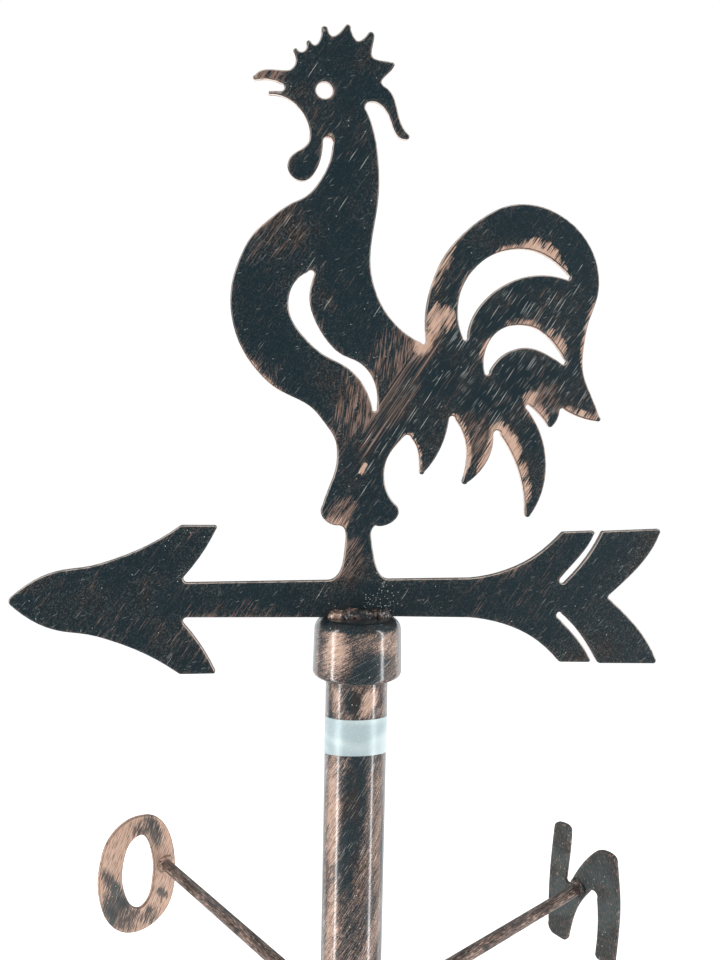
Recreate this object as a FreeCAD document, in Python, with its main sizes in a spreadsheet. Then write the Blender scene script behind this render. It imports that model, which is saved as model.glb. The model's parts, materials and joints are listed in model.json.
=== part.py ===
"""Rooster weather vane on a short pipe mast, with a compass of four letters.

Millimetres, +Z up.  The origin is the centre of the base plate's underside, on the
mast's axis.  The rooster sheet lies in the XZ plane and the arrow points along -X.
The arrow, rooster and rain cap turn on two ball bearings inside the top of the mast.
The compass is a collar round the mast, held by two screws, with four rods and letters.
"""
import FreeCAD, Part
import math
import os
import Sketcher
from FreeCAD import Placement, Rotation, Vector

doc = FreeCAD.newDocument("weather_vane")
Z_AXIS = Vector(0, 0, 1)
pieces = {}

# ---------------------------------------------------------------- driving dimensions
DIMENSIONS = [
    ("cap_top", 520, "height of the rain cap's flat top above the ground"),
    ("sheet_thickness", 3, "rooster and arrow sheet"),
    ("eye_across", -23.3, "from the mast's axis to the rooster's eye, along +X"),
    ("eye_height", 277.6, "from cap top to the eye's centre"),
    ("eye_radius", 4.4, ""),
    ("mast_diameter", 33.7, "1 inch steel pipe"),
    ("mast_wall", 2.6, ""),
    ("base_width", 120, "square base plate"),
    ("base_thickness", 6, ""),
    ("base_corner", 12, "corner radius"),
    ("bolt_spacing", 90, "between base bolt holes"),
    ("bolt_hole", 9, "diameter, for M8"),
    ("foot_weld", 5, "leg of the weld round the mast's foot"),
    ("cap_diameter", 48.3, "at the rim"),
    ("cap_neck", 46.6, "diameter where the shoulder starts"),
    ("cap_height", 31.4, ""),
    ("cap_wall", 2.8, ""),
    ("cap_roof", 4, ""),
    ("cap_shoulder", 6.5, "outer radius between wall and top"),
    ("cap_rim_round", 2.4, "outer radius at the rim"),
    ("bead_radius", 5, "weld beads between sheet and cap"),
    ("bead_length", 33, ""),
    ("bearing_bore", 8, "608 ball bearing"),
    ("bearing_diameter", 22, ""),
    ("bearing_width", 7, ""),
    ("inner_land", 13, "outer diameter of the inner ring"),
    ("outer_land", 18.2, "inner diameter of the outer ring"),
    ("ball_diameter", 3.97, ""),
    ("ball_pitch", 15.6, "diameter of the circle of ball centres"),
    ("ball_count", 7, ""),
    ("ball_gap", 0.05, "clearance round each ball"),
    ("cage_thickness", 1.2, ""),
    ("cage_height", 5.4, ""),
    ("housing_drop", 10, "from cap top to housing top"),
    ("housing_flange", 3, ""),
    ("housing_shoulder", 18.6, "bore between the two bearings"),
    ("bearing_span", 24, "between the two bearings"),
    ("clip_thickness", 1, "retaining clip over the upper bearing"),
    ("clip_drop", 1, "from housing top to clip"),
    ("clip_depth", 0.6, "depth of the clip's groove"),
    ("clip_width", 1.8, "radial width of the clip"),
    ("spacer_diameter", 11.6, "tube between the inner rings"),
    ("spindle_head", 16, "diameter of the spindle's head"),
    ("spindle_head_height", 3, ""),
    ("spindle_weld", 2.4, "leg of the weld round the spindle's head"),
    ("spindle_tail", 2.4, "thread left below the nut"),
    ("washer_diameter", 16, "M8 washer"),
    ("washer_bore", 8.4, ""),
    ("washer_thickness", 1.6, ""),
    ("nut_flats", 13, "M8 lock nut"),
    ("nut_height", 8, ""),
    ("label_drop", 49.5, "from cap top to the label's upper edge"),
    ("label_height", 20.8, ""),
    ("label_thickness", 0.2, ""),
    ("label_wrap", 232, "degrees of the mast that the label covers"),
    ("label_turn", 145, "degrees from +X to the label's right-hand edge"),
    ("hub_drop", 230.8, "from cap top to the compass rods' centre line"),
    ("compass_turn", 302.8, "degrees from +Y to the north rod, counter-clockwise"),
    ("rod_diameter", 8, "compass rods"),
    ("rod_reach", 219.1, "from the mast's axis to the letters' inner faces"),
    ("letter_thickness", 3, ""),
    ("collar_diameter", 42.4, ""),
    ("collar_height", 34, ""),
    ("collar_gap", 0.06, "clearance between collar and mast"),
    ("rod_weld", 3.4, "leg of the welds between rods and collar"),
    ("letter_weld", 2.6, "leg of the welds between rods and letters"),
    ("screw_diameter", 6, "M6 clamp screws"),
    ("screw_gap", 0.05, "clearance round a screw and at its tip"),
    ("screw_flats", 10, ""),
    ("screw_head", 4, "height of a screw's head"),
    ("screw_stand", 2, "from collar to the underside of a screw's head"),
]

dims = doc.addObject("Spreadsheet::Sheet", "dims")
for row, (alias, number, note) in enumerate(DIMENSIONS, start=1):
    dims.set("A%d" % row, alias)
    dims.set("B%d" % row, str(number))
    dims.set("C%d" % row, note)
    dims.setAlias("B%d" % row, alias)
doc.recompute()


def value(expression):
    """The number that an expression in the sheet's aliases gives."""
    return float(dims.evalExpression(expression))


# ------------------------------------------------------------------- sketch helpers
def new_body(label):
    body = doc.addObject("PartDesign::Body", label)
    body.Label = label
    pieces[label] = body
    return body


def sketch_on(body, role):
    """A sketch on one of the body's own origin planes."""
    plane = [p for p in body.Origin.OriginFeatures if p.Role == role][0]
    sketch = body.newObject("Sketcher::SketchObject", body.Label + "_sketch")
    sketch.AttachmentSupport = (plane, [""])
    sketch.MapMode = "FlatFace"
    return sketch


def constrain(sketch, kind, where, expression):
    """Adds a dimensional constraint and binds it to an expression."""
    index = sketch.addConstraint(Sketcher.Constraint(kind, *where, value(expression)))
    name = "size%d" % index
    sketch.renameConstraint(index, name)
    sketch.setExpression("Constraints." + name, expression)


def draw_polygon(sketch, corners):
    """A closed polygon; each corner is a pair of expressions."""
    points = [Vector(value(across), value(up), 0) for across, up in corners]
    sides = [Part.LineSegment(a, b) for a, b in zip(points, points[1:] + points[:1])]
    first = sketch.addGeometry(sides, False)[0]
    count = len(corners)
    for i, (across, up) in enumerate(corners):
        end_of_last = first + (i - 1) % count
        sketch.addConstraint(Sketcher.Constraint("Coincident", end_of_last, 2, first + i, 1))
        constrain(sketch, "DistanceX", (-1, 1, first + i, 1), across)
        constrain(sketch, "DistanceY", (-1, 1, first + i, 1), up)


def draw_circle(sketch, across, up, radius):
    centre = Vector(value(across), value(up), 0)
    index = sketch.addGeometry(Part.Circle(centre, Vector(0, 0, 1), value(radius)), False)
    constrain(sketch, "DistanceX", (-1, 1, index, 3), across)
    constrain(sketch, "DistanceY", (-1, 1, index, 3), up)
    constrain(sketch, "Radius", (index,), radius)


def revolve(body, sketch, axis, angle="360"):
    feature = body.newObject("PartDesign::Revolution", body.Label + "_turned")
    feature.Profile = sketch
    feature.ReferenceAxis = (sketch, [axis])
    feature.setExpression("Angle", angle)
    return feature


def turned(label, corners):
    """A piece turned about the mast's axis: corners are (radius, height)."""
    body = new_body(label)
    sketch = sketch_on(body, "XZ_Plane")
    draw_polygon(sketch, corners)
    revolve(body, sketch, "V_Axis")
    return body


def pad(body, sketch, length, side="Symmetric", backwards=False):
    feature = body.newObject("PartDesign::Pad", body.Label + "_pad")
    feature.Profile = sketch
    feature.setExpression("Length", length)
    feature.SideType = side
    feature.Reversed = backwards
    return feature


def pocket(body, sketch, length):
    """Cuts a sketch out of the body, half to each side, and checks that it cut."""
    doc.recompute()
    before = body.Shape.Volume
    feature = body.newObject("PartDesign::Pocket", body.Label + "_pocket")
    feature.Profile = sketch
    feature.SideType = "Symmetric"
    feature.setExpression("Length", length)
    doc.recompute()
    if body.Shape.Volume > before - 1:
        raise RuntimeError(body.Label + ": the pocket removed nothing")
    return feature


def fillet(body, base, chosen, radius):
    """Rounds the edges of a feature that the test chooses."""
    doc.recompute()
    names = ["Edge%d" % n for n, edge in enumerate(base.Shape.Edges, start=1) if chosen(edge)]
    feature = body.newObject("PartDesign::Fillet", body.Label + "_fillet")
    feature.Base = (base, names)
    feature.setExpression("Radius", radius)
    return feature


def is_circle_at(edge, radius, height):
    """Whether an edge is a level circle of a radius, at a height."""
    if not isinstance(edge.Curve, Part.Circle):
        return False
    same_radius = abs(edge.Curve.Radius - radius) < 0.01
    return same_radius and abs(edge.Curve.Center.z - height) < 0.01


def place(piece, height="0", turn=None):
    """Raises a piece, and turns it about the mast's axis."""
    piece.Placement = Placement(Vector(0, 0, 0), Rotation(Z_AXIS, 90))
    piece.setExpression(".Placement.Base.z", height)
    piece.setExpression(".Placement.Rotation.Angle", turn or "0")


# -------------------------------------------------------------------- cut outlines
class Outline:
    """A closed outline drawn stretch by stretch, as (across, up) points."""

    def __init__(self, across, up):
        self.start = (across, up)
        self.pen = (across, up)
        self.stretches = []

    def line(self, end):
        self.stretches.append(Part.LineSegment(Vector(*self.pen, 0), Vector(*end, 0)))
        self.pen = end

    def curve(self, *points):
        """A smooth stretch through each point in turn."""
        spline = Part.BSplineCurve()
        spline.interpolate([Vector(*p, 0) for p in (self.pen,) + points])
        self.stretches.append(spline)
        self.pen = points[-1]

    def bend(self, via, end):
        """A round tip or valley: an arc through one point to the next."""
        self.stretches.append(Part.Arc(*[Vector(*p, 0) for p in (self.pen, via, end)]))
        self.pen = end

    def follow(self, steps):
        for kind, *points in steps:
            getattr(self, kind)(*points)

    def loop(self, *points):
        """A whole smooth closed outline through the points."""
        spline = Part.BSplineCurve()
        ring = [Vector(*p, 0) for p in (self.start,) + points]
        spline.interpolate(ring, PeriodicFlag=True)
        self.stretches.append(spline)

    def draw(self, sketch):
        if math.dist(self.pen, self.start) > 1e-6:
            raise RuntimeError("outline left open at %s" % (self.pen,))
        sketch.addGeometry(self.stretches, False)


def mirrored(start, steps, level):
    """The steps walked backwards and reflected about a level: (start, steps)."""
    def flip(point):
        return (point[0], 2 * level - point[1])

    pens = [start] + [step[-1] for step in steps]
    flipped = []
    for pen, (kind, *points) in reversed(list(zip(pens, steps))):
        between = points[:-1][::-1]
        flipped.append((kind, *[flip(p) for p in between], flip(pen)))
    return flip(pens[-1]), flipped


# The rooster and arrow are one sheet.  Points are (across, height above the cap's top).
ARROW_LEVEL = 10
HEAD_START = (-179.6, 12.2)
HEAD_STEPS = [
    ("curve", (-172, 18.4), (-163, 23.4), (-153, 26.2), (-143, 27.5), (-130, 31.1), (-115, 37.2),
     (-104, 43.2), (-95.6, 48.9)),
    ("bend", (-94.7, 49.4), (-93.5, 49.6)),
    ("line", (-77.6, 49.6)),
    ("bend", (-76.3, 49.1), (-76.4, 47.6)),
    ("curve", (-84.5, 33.2), (-92.5, 22.8)),
    ("bend", (-92.9, 20.3), (-91, 19.3)),
]
TAIL_START = (62, 21.1)
TAIL_STEPS = [
    ("curve", (74, 22.9), (86, 26.6), (97, 32), (106, 38.6), (113.6, 45.9)),
    ("bend", (114.4, 46.6), (115.6, 46.9)),
    ("line", (131.9, 47.5)),
    ("bend", (133.2, 46.9), (133, 45.4)),
    ("curve", (129.5, 38.9), (123.5, 31.3), (114.2, 20.8)),
    ("bend", (114.6, 18.1), (117.3, 18.8)),
    ("curve", (124.3, 26.2), (131, 35), (137.3, 46.1)),
    ("bend", (138, 47.1), (139.3, 47.4)),
    ("line", (170.6, 48.7)),
    ("bend", (172.5, 47.9), (172.3, 46)),
    ("curve", (167, 35.5), (158, 24.5), (143.6, 11.2)),
]
LOWER_TAIL_START = (144, 8.4)
LOWER_TAIL_STEPS = [
    ("curve", (159.3, -6), (168.2, -17.4), (172.9, -26.2)),
    ("bend", (172.9, -28), (171, -28.8)),
    ("line", (139.9, -28.1)),
    ("bend", (138.3, -27.7), (137.2, -26.5)),
    ("curve", (130.3, -15.4), (124, -7.4), (115.8, 0.4)),
    ("bend", (113.1, 1.1), (113.2, -1.3)),
    ("curve", (122.4, -10.6), (129.2, -18.8), (133, -25)),
    ("bend", (133.2, -26.7), (131.9, -27.3)),
    ("line", (116.5, -26.9)),
    ("bend", (115, -26.5), (113.8, -25.4)),
    ("curve", (106, -17.8), (97, -11.4), (86, -6.2), (74, -2.7), (62, -0.9)),
]
CAP_SEAT = 22


def draw_stem_left_and_breast(pen):
    pen.curve((-13, 21.6), (-10, 25.8), (-8.3, 34.5), (-7.6, 42), (-8.8, 48.4), (-11.6, 49.8))
    pen.curve((-17.2, 51.2), (-21, 55.6), (-20.4, 60.6))
    pen.curve((-16.1, 72.8), (-13.4, 82), (-13.1, 89), (-14.8, 97), (-19.7, 104.1), (-26.5, 112),
              (-35.6, 117.3), (-45.2, 121.7), (-55.2, 130), (-63.4, 140.9), (-68.6, 153.6),
              (-70.5, 166.4), (-69.3, 178.8), (-65.2, 190.9), (-59, 202), (-50.2, 210.5),
              (-40.2, 218.2), (-31.6, 223), (-26, 229.3), (-20.8, 238.8), (-18.5, 249.8))
    pen.bend((-20.4, 253.7), (-23.5, 252.6))


def draw_wattle_and_beak(pen):
    pen.curve((-24.3, 243.8), (-27.4, 235.6), (-32.4, 230.8), (-38.5, 231.7), (-41.9, 237.4),
              (-40, 242.8), (-34.6, 246.8), (-30.8, 251.4))
    pen.curve((-31.1, 258.6), (-35, 266), (-41, 271.2), (-51.2, 273.4))
    pen.bend((-52.2, 274.1), (-51.2, 274.7))
    pen.line((-46.4, 275.2))
    pen.bend((-44.1, 277.1), (-46.2, 279.6))
    pen.curve((-51, 280.8), (-58.6, 280.1))
    pen.bend((-60.1, 280.5), (-59.3, 282.3))
    pen.curve((-56.6, 284.6), (-51, 285.8), (-41.5, 286.3))


def draw_comb(pen):
    pen.curve((-39, 289), (-39.8, 296))
    pen.bend((-39.3, 297.3), (-37.9, 297.2))
    pen.curve((-35, 296), (-33.4, 297.4), (-33.1, 300.7))
    pen.bend((-32.3, 301.9), (-31, 301.6))
    pen.curve((-28.4, 300.1), (-26.7, 301.9), (-25.5, 308.3))
    pen.bend((-23.8, 309.9), (-22.1, 308.8))
    pen.curve((-19, 305.3), (-16.4, 307), (-13.3, 310.7))
    pen.bend((-11.5, 311.8), (-10.1, 310.6))
    pen.curve((-8.8, 306.3), (-6.3, 303.9), (-3.6, 305.2), (-1, 308.2))
    pen.bend((1.1, 309), (2.4, 307.3))
    pen.curve((1.4, 301), (1.9, 296.2), (5.6, 295), (11.8, 294.4))
    pen.bend((13.4, 293.7), (12.9, 292.3))
    pen.curve((9.9, 288.5), (6.8, 283.8), (8.4, 281.8))


def draw_nape_and_back(pen):
    pen.curve((13.2, 277), (15.6, 269.6), (18.2, 262.3), (21.8, 258))
    pen.bend((22.2, 256.3), (20.6, 255.4))
    pen.curve((16.4, 256.6), (13, 262.4), (9.9, 269.2), (5, 273.3), (-0.4, 273.2))
    pen.bend((-1.7, 270.9), (-0.8, 268.4))
    pen.curve((1.7, 263), (4.4, 253.6), (6.3, 239), (6.4, 224), (3.8, 205.5), (2.7, 191.8),
              (4.6, 179.1), (10.3, 166.4), (18.9, 156.4), (31.2, 148.9))
    pen.bend((33.2, 148.4), (33.8, 150.2))


def draw_great_tail_feather(pen):
    pen.curve((33.2, 157), (33.9, 170), (37, 182.4), (43.3, 196.3), (54.2, 209.2), (66, 218.6),
              (77, 224), (88, 225.6), (99, 224.1), (109, 219.9), (118.5, 212.9), (126.2, 202.7),
              (130.6, 189), (130.3, 178), (125.6, 163.6), (123.4, 151), (123.5, 135.5),
              (127.3, 125.6), (133.8, 111.4))
    pen.bend((134.3, 109.5), (132.6, 108.9))


def draw_lower_tail_feathers(pen):
    pen.curve((123.5, 110.6), (113.6, 114.8))
    pen.bend((111.6, 115.6), (110.4, 114.2))
    pen.curve((109, 109), (106.8, 106))
    pen.bend((105.2, 105.1), (103.8, 106.2))
    pen.curve((99, 112), (93.2, 116.8))
    pen.bend((91.3, 116.9), (91.5, 115))
    pen.curve((98, 105.6), (102, 95.2), (103.6, 83), (102.2, 71), (95.4, 56.2))
    pen.bend((93.6, 55), (92.3, 56.6))
    pen.curve((91.4, 67.5), (87.9, 80.8), (82.2, 92.6), (77.2, 100.1))
    pen.bend((74.7, 102.6), (72.9, 100.8))
    pen.curve((72.2, 91.8), (67.6, 82.2), (58.9, 73.7))
    pen.bend((56.5, 73.1), (56.2, 75.3))
    pen.curve((58, 84), (57.8, 94), (54.4, 103.6), (51.4, 108.1))
    pen.bend((49.3, 109.9), (47.8, 108.4))
    pen.curve((45.4, 97.4), (40.8, 87.3), (34.7, 79.2))
    pen.bend((32.9, 77.9), (32.1, 79.8))
    pen.curve((31.6, 87), (29.6, 94), (27.2, 97.4))
    pen.bend((25.3, 99.1), (23, 98.2))


def draw_leg_and_stem_right(pen):
    pen.curve((18.4, 93), (14, 85.9), (12.6, 77.6), (14.3, 68.4), (20.2, 60.6))
    pen.curve((21.1, 56.6), (16.8, 51.3), (8.4, 49.9))
    pen.curve((6.5, 47.4), (6.4, 42), (7.6, 35), (9.9, 26.4), (12.7, 22.2), (16, 20.7))


def rooster_outline():
    """The sheet's outer edge, from the arrow's point over the rooster and back."""
    pen = Outline(*HEAD_START)
    pen.follow(HEAD_STEPS)
    pen.line((-17, 20.2))
    draw_stem_left_and_breast(pen)
    draw_wattle_and_beak(pen)
    draw_comb(pen)
    draw_nape_and_back(pen)
    draw_great_tail_feather(pen)
    draw_lower_tail_feathers(pen)
    draw_leg_and_stem_right(pen)
    pen.line(TAIL_START)
    pen.follow(TAIL_STEPS)
    pen.bend((142.9, 9.8), LOWER_TAIL_START)
    pen.follow(LOWER_TAIL_STEPS)
    pen.line((CAP_SEAT, 0))
    pen.line((-CAP_SEAT, 0))
    lower_head, head_back = mirrored(HEAD_START, HEAD_STEPS, ARROW_LEVEL)
    pen.line(lower_head)
    pen.follow(head_back)
    pen.bend((-180.6, ARROW_LEVEL), HEAD_START)
    return pen


def wing_slot():
    pen = Outline(-26.8, 183)
    pen.bend((-28.3, 184.6), (-30.6, 183.5))
    pen.curve((-36.6, 178.7), (-40.1, 170.3), (-39, 159.8), (-32.2, 150), (-21.1, 140.6),
              (-9.5, 134.9), (-1.4, 127.7), (3.5, 119.1), (5.5, 113))
    pen.bend((6.9, 111.4), (8, 113.2))
    pen.curve((7.8, 121.6), (4.2, 131), (-2.9, 137.6), (-11.1, 140.9), (-18.6, 146.9),
              (-25.6, 157.3), (-29.2, 168), (-28.4, 177.8), (-26.8, 183))
    return pen


def upper_crescent():
    pen = Outline(112, 186.3)
    pen.bend((113.9, 186.9), (113.2, 188.9))
    pen.curve((108.6, 192.9), (99.5, 198.6), (89.2, 201.4), (78.3, 200.6), (67.5, 196.3),
              (58.3, 187.9), (52.9, 178.3), (51.1, 167.6), (52.5, 157), (54.4, 152.4))
    pen.bend((55.8, 151.1), (56.9, 153))
    pen.curve((58.8, 161.9), (63.8, 170.4), (71.7, 178.3), (82.5, 184.6), (96, 187.8),
              (112, 186.3))
    return pen


def lower_crescent():
    pen = Outline(111.2, 140)
    pen.bend((113, 140.6), (112.3, 142.8))
    pen.curve((105.4, 151.7), (95.5, 158.9), (85, 160.4), (74.8, 157.2), (68.2, 149),
              (66.3, 139.2), (67.1, 134))
    pen.bend((68.4, 132.8), (69.9, 134.8))
    pen.curve((74.5, 141.4), (82.4, 146.7), (91.7, 148.2), (101.5, 145.4), (111.2, 140))
    return pen


# Letters as seen from the mast looking outwards: (across, height above the rod).
def letter_n_outline():
    pen = Outline(-25, -36)
    pen.curve((-25.5, -20), (-25.3, 0), (-24.3, 17), (-22.4, 38.4))
    pen.curve((-20.8, 41.8), (-14.5, 43.6), (-9.6, 42.9), (-8, 39.5))
    pen.curve((-8.4, 27), (-9.8, 12), (-10.6, 3.5))
    pen.bend((-9, 0.5), (-6.6, 2.2))
    pen.curve((-0.5, 14.5), (6, 24.6), (13.5, 33.5))
    pen.curve((18, 36), (23, 36.8), (28, 35.7), (30.3, 32.3))
    pen.curve((31.8, 20), (33.4, 5), (33.4, -14), (31.6, -39))
    pen.bend((30.8, -42.8), (27.5, -44.1))
    pen.line((19, -44.3))
    pen.bend((16.6, -43.2), (16, -40.5))
    pen.curve((17.1, -24), (16.9, -12), (15.8, -0.5))
    pen.bend((12.6, 4.1), (9.4, 1.5))
    pen.curve((3.3, -7.5), (-1.5, -17), (-4.6, -27), (-7.2, -39))
    pen.bend((-8.7, -43), (-12, -44.4))
    pen.line((-20, -44))
    pen.bend((-23.9, -41.6), (-25, -36))
    return [pen]


def letter_o_outline():
    outside = Outline(-22.5, 43.3)
    outside.loop((-35, 40.4), (-45.2, 31.4), (-50.8, 16), (-52.3, 0), (-49.8, -16.5),
                 (-44, -30.4), (-34, -40.6), (-20, -44.8), (-7, -42), (3, -33.5), (8, -19.5),
                 (8.8, -4), (6.4, 14.5), (0.2, 30.4), (-9.6, 40.4))
    inside = Outline(-21, 28.7)
    inside.loop((-28.2, 25), (-32.8, 14.5), (-34.4, 0), (-31.6, -13.5), (-26.2, -23.6),
                (-19.6, -27.2), (-13.4, -22.8), (-9.9, -11.5), (-9, 0.5), (-11, 14.2),
                (-15.2, 25))
    return [outside, inside]


def letter_e_outline():
    pen = Outline(25.6, -40)
    pen.curve((26.4, 0), (25, 39.6))
    pen.bend((24, 42.8), (20.8, 43.7))
    pen.line((-29, 43))
    pen.bend((-32.4, 41.6), (-33.2, 38.2))
    pen.line((-32.6, 31))
    pen.bend((-31.5, 28.3), (-28.6, 27.6))
    pen.line((6.6, 27.6))
    pen.bend((9, 26.8), (9.8, 24.6))
    pen.line((9.8, 10.8))
    pen.bend((9, 8.7), (6.6, 8))
    pen.line((-22, 8.2))
    pen.bend((-25, 7), (-25.9, 4.2))
    pen.line((-25.6, -4.6))
    pen.bend((-24.6, -7.2), (-22, -8))
    pen.line((6.6, -8.2))
    pen.bend((9, -9), (9.8, -11.2))
    pen.line((9.8, -25.4))
    pen.bend((9, -27.6), (6.6, -28.4))
    pen.line((-29, -28.4))
    pen.bend((-32, -29.5), (-33, -32.4))
    pen.line((-33.6, -40))
    pen.bend((-32.7, -42.9), (-29.6, -44))
    pen.line((20.8, -44.3))
    pen.bend((24.4, -43.2), (25.6, -40))
    return [pen]


def letter_s_outline():
    """Two bowls, each an arc of the same stroke, one above the other."""
    outer, inner, rise = 26, 10, 18
    tip, cap_tip = 165, 172

    def on_bowl(radius, degrees, side):
        angle = math.radians(degrees)
        return (side * radius * math.cos(angle), side * (rise + radius * math.sin(angle)))

    halfway = (tip - 90) / 2
    pen = Outline(*on_bowl(outer, tip, 1))
    for side in (1, -1):
        pen.bend(on_bowl(outer, halfway, side), on_bowl(outer, -90, side))
        pen.bend(on_bowl(inner, halfway, -side), on_bowl(inner, tip, -side))
        pen.bend(on_bowl((outer + inner) / 2, cap_tip, -side), on_bowl(outer, tip, -side))
    return [pen]


# ------------------------------------------------------------------------ the mast
def base_plate():
    body = new_body("base_plate")
    half = "dims.base_width / 2"
    sketch = sketch_on(body, "XY_Plane")
    draw_polygon(sketch, [("-" + half, "-" + half), (half, "-" + half), (half, half), ("-" + half, half)])
    slab = pad(body, sketch, "dims.base_thickness", side="One side")
    fillet(body, slab, lambda e: abs(e.tangentAt(e.FirstParameter).z) > 0.9, "dims.base_corner")
    holes = sketch_on(body, "XY_Plane")
    bolt = "dims.bolt_spacing / 2"
    for across in (bolt, "-" + bolt):
        for up in (bolt, "-" + bolt):
            draw_circle(holes, across, up, "dims.bolt_hole / 2")
    pocket(body, holes, "dims.base_thickness * 3")


def mast_tube():
    outer = "dims.mast_diameter / 2"
    inner = "dims.mast_diameter / 2 - dims.mast_wall"
    top = "dims.cap_top - dims.housing_drop - dims.housing_flange"
    foot = "dims.base_thickness"
    turned("mast_tube", [(inner, foot), (outer, foot), (outer, top), (inner, top)])


def mast_foot_weld():
    outer = "dims.mast_diameter / 2"
    foot = "dims.base_thickness"
    turned("mast_foot_weld", [
        (outer, foot),
        (outer + " + dims.foot_weld", foot),
        (outer, foot + " + dims.foot_weld"),
    ])


def mast_label():
    body = new_body("mast_label")
    inner = "dims.mast_diameter / 2"
    outer = inner + " + dims.label_thickness"
    top = "dims.cap_top - dims.label_drop"
    bottom = top + " - dims.label_height"
    sketch = sketch_on(body, "XZ_Plane")
    draw_polygon(sketch, [(inner, bottom), (outer, bottom), (outer, top), (inner, top)])
    revolve(body, sketch, "V_Axis", "dims.label_wrap")
    place(body, "0", "dims.label_turn")


# ---------------------------------------------------------------- bearings in the mast
HOUSING_TOP = "dims.cap_top - dims.housing_drop"
CLIP_TOP = HOUSING_TOP + " - dims.clip_drop"
UPPER_TOP = CLIP_TOP + " - dims.clip_thickness"
UPPER_FOOT = UPPER_TOP + " - dims.bearing_width"
LOWER_TOP = UPPER_FOOT + " - dims.bearing_span"
LOWER_FOOT = LOWER_TOP + " - dims.bearing_width"
SHAFT = "dims.bearing_bore / 2"


def bearing_housing():
    seat = "dims.bearing_diameter / 2"
    shoulder = "dims.housing_shoulder / 2"
    groove = seat + " + dims.clip_depth"
    snug = "dims.mast_diameter / 2 - dims.mast_wall"
    flange_foot = HOUSING_TOP + " - dims.housing_flange"
    turned("bearing_housing", [
        (seat, LOWER_FOOT), (snug, LOWER_FOOT), (snug, flange_foot),
        ("dims.mast_diameter / 2", flange_foot), ("dims.mast_diameter / 2", HOUSING_TOP),
        (seat, HOUSING_TOP), (seat, CLIP_TOP), (groove, CLIP_TOP), (groove, UPPER_TOP),
        (seat, UPPER_TOP), (seat, UPPER_FOOT), (shoulder, UPPER_FOOT), (shoulder, LOWER_TOP),
        (seat, LOWER_TOP),
    ])


def retaining_clip():
    outer = "dims.bearing_diameter / 2 + dims.clip_depth"
    inner = outer + " - dims.clip_width"
    turned("retaining_clip", [(inner, UPPER_TOP), (outer, UPPER_TOP), (outer, CLIP_TOP), (inner, CLIP_TOP)])


def bearing_ring(label, inner, outer, foot):
    """One ring of a ball bearing, with the balls' track cut into it."""
    body = turned(label, [
        (inner, foot), (outer, foot), (outer, foot + " + dims.bearing_width"),
        (inner, foot + " + dims.bearing_width"),
    ])
    track = sketch_on(body, "XZ_Plane")
    draw_circle(track, "dims.ball_pitch / 2", foot + " + dims.bearing_width / 2",
                "dims.ball_diameter / 2 + dims.ball_gap")
    doc.recompute()
    before = body.Shape.Volume
    groove = body.newObject("PartDesign::Groove", label + "_track")
    groove.Profile = track
    groove.ReferenceAxis = (track, ["V_Axis"])
    groove.Angle = 360
    doc.recompute()
    if body.Shape.Volume > before - 1:
        raise RuntimeError(label + ": the track removed nothing")


def put_round_axis(solid, index, radius, height):
    """Puts a solid beside the mast's axis, at the angle of one of a bearing's balls."""
    turn = "(%d * 360 deg / dims.ball_count)" % index
    solid.setExpression(".Placement.Base.x", "%s * cos%s" % (radius, turn))
    solid.setExpression(".Placement.Base.y", "%s * sin%s" % (radius, turn))
    solid.setExpression(".Placement.Base.z", height)


def cylinder(name, radius, height, foot):
    solid = doc.addObject("Part::Cylinder", name)
    solid.setExpression("Radius", radius)
    solid.setExpression("Height", height)
    solid.setExpression(".Placement.Base.z", foot)
    return solid


def cut(label, base, tool):
    solid = doc.addObject("Part::Cut", label)
    solid.Label = label
    solid.Base = base
    solid.Tool = tool
    return solid


def balls_and_cage(prefix, foot):
    middle = foot + " + dims.bearing_width / 2"
    cage_foot = middle + " - dims.cage_height / 2"
    ring = cut(prefix + "_cage_ring",
               cylinder(prefix + "_cage_outside", "(dims.ball_pitch + dims.cage_thickness) / 2",
                        "dims.cage_height", cage_foot),
               cylinder(prefix + "_cage_inside", "(dims.ball_pitch - dims.cage_thickness) / 2",
                        "dims.cage_height", cage_foot))
    windows = []
    count = int(value("dims.ball_count"))
    for index in range(count):
        label = "%s_ball_%d" % (prefix, index + 1)
        ball = doc.addObject("Part::Sphere", label)
        ball.Label = label
        ball.setExpression("Radius", "dims.ball_diameter / 2")
        put_round_axis(ball, index, "dims.ball_pitch / 2", middle)
        pieces[label] = ball
        window = doc.addObject("Part::Cylinder", "%s_window_%d" % (prefix, index + 1))
        window.setExpression("Radius", "dims.ball_diameter / 2 + dims.ball_gap")
        window.setExpression("Height", "dims.ball_diameter")
        window.Placement.Rotation = Rotation(Z_AXIS, 360 * index / count) * Rotation(Vector(0, 1, 0), 90)
        put_round_axis(window, index, "(dims.ball_pitch - dims.ball_diameter) / 2", middle)
        windows.append(window)
    pockets = doc.addObject("Part::MultiFuse", prefix + "_cage_pockets")
    pockets.Shapes = windows
    label = prefix + "_ball_cage"
    pieces[label] = cut(label, ring, pockets)


def ball_bearings():
    for prefix, foot in (("upper", UPPER_FOOT), ("lower", LOWER_FOOT)):
        bearing_ring(prefix + "_outer_ring", "dims.outer_land / 2", "dims.bearing_diameter / 2", foot)
        bearing_ring(prefix + "_inner_ring", SHAFT, "dims.inner_land / 2", foot)
        balls_and_cage(prefix, foot)


# ------------------------------------------------------------------ the turning vane
def rooster_arrow_sheet():
    body = new_body("rooster_arrow_sheet")
    sketch = sketch_on(body, "XZ_Plane")
    for outline in (rooster_outline(), wing_slot(), upper_crescent(), lower_crescent()):
        outline.draw(sketch)
    draw_circle(sketch, "dims.eye_across", "dims.eye_height", "dims.eye_radius")
    pad(body, sketch, "dims.sheet_thickness")
    place(body, "dims.cap_top")


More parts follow.
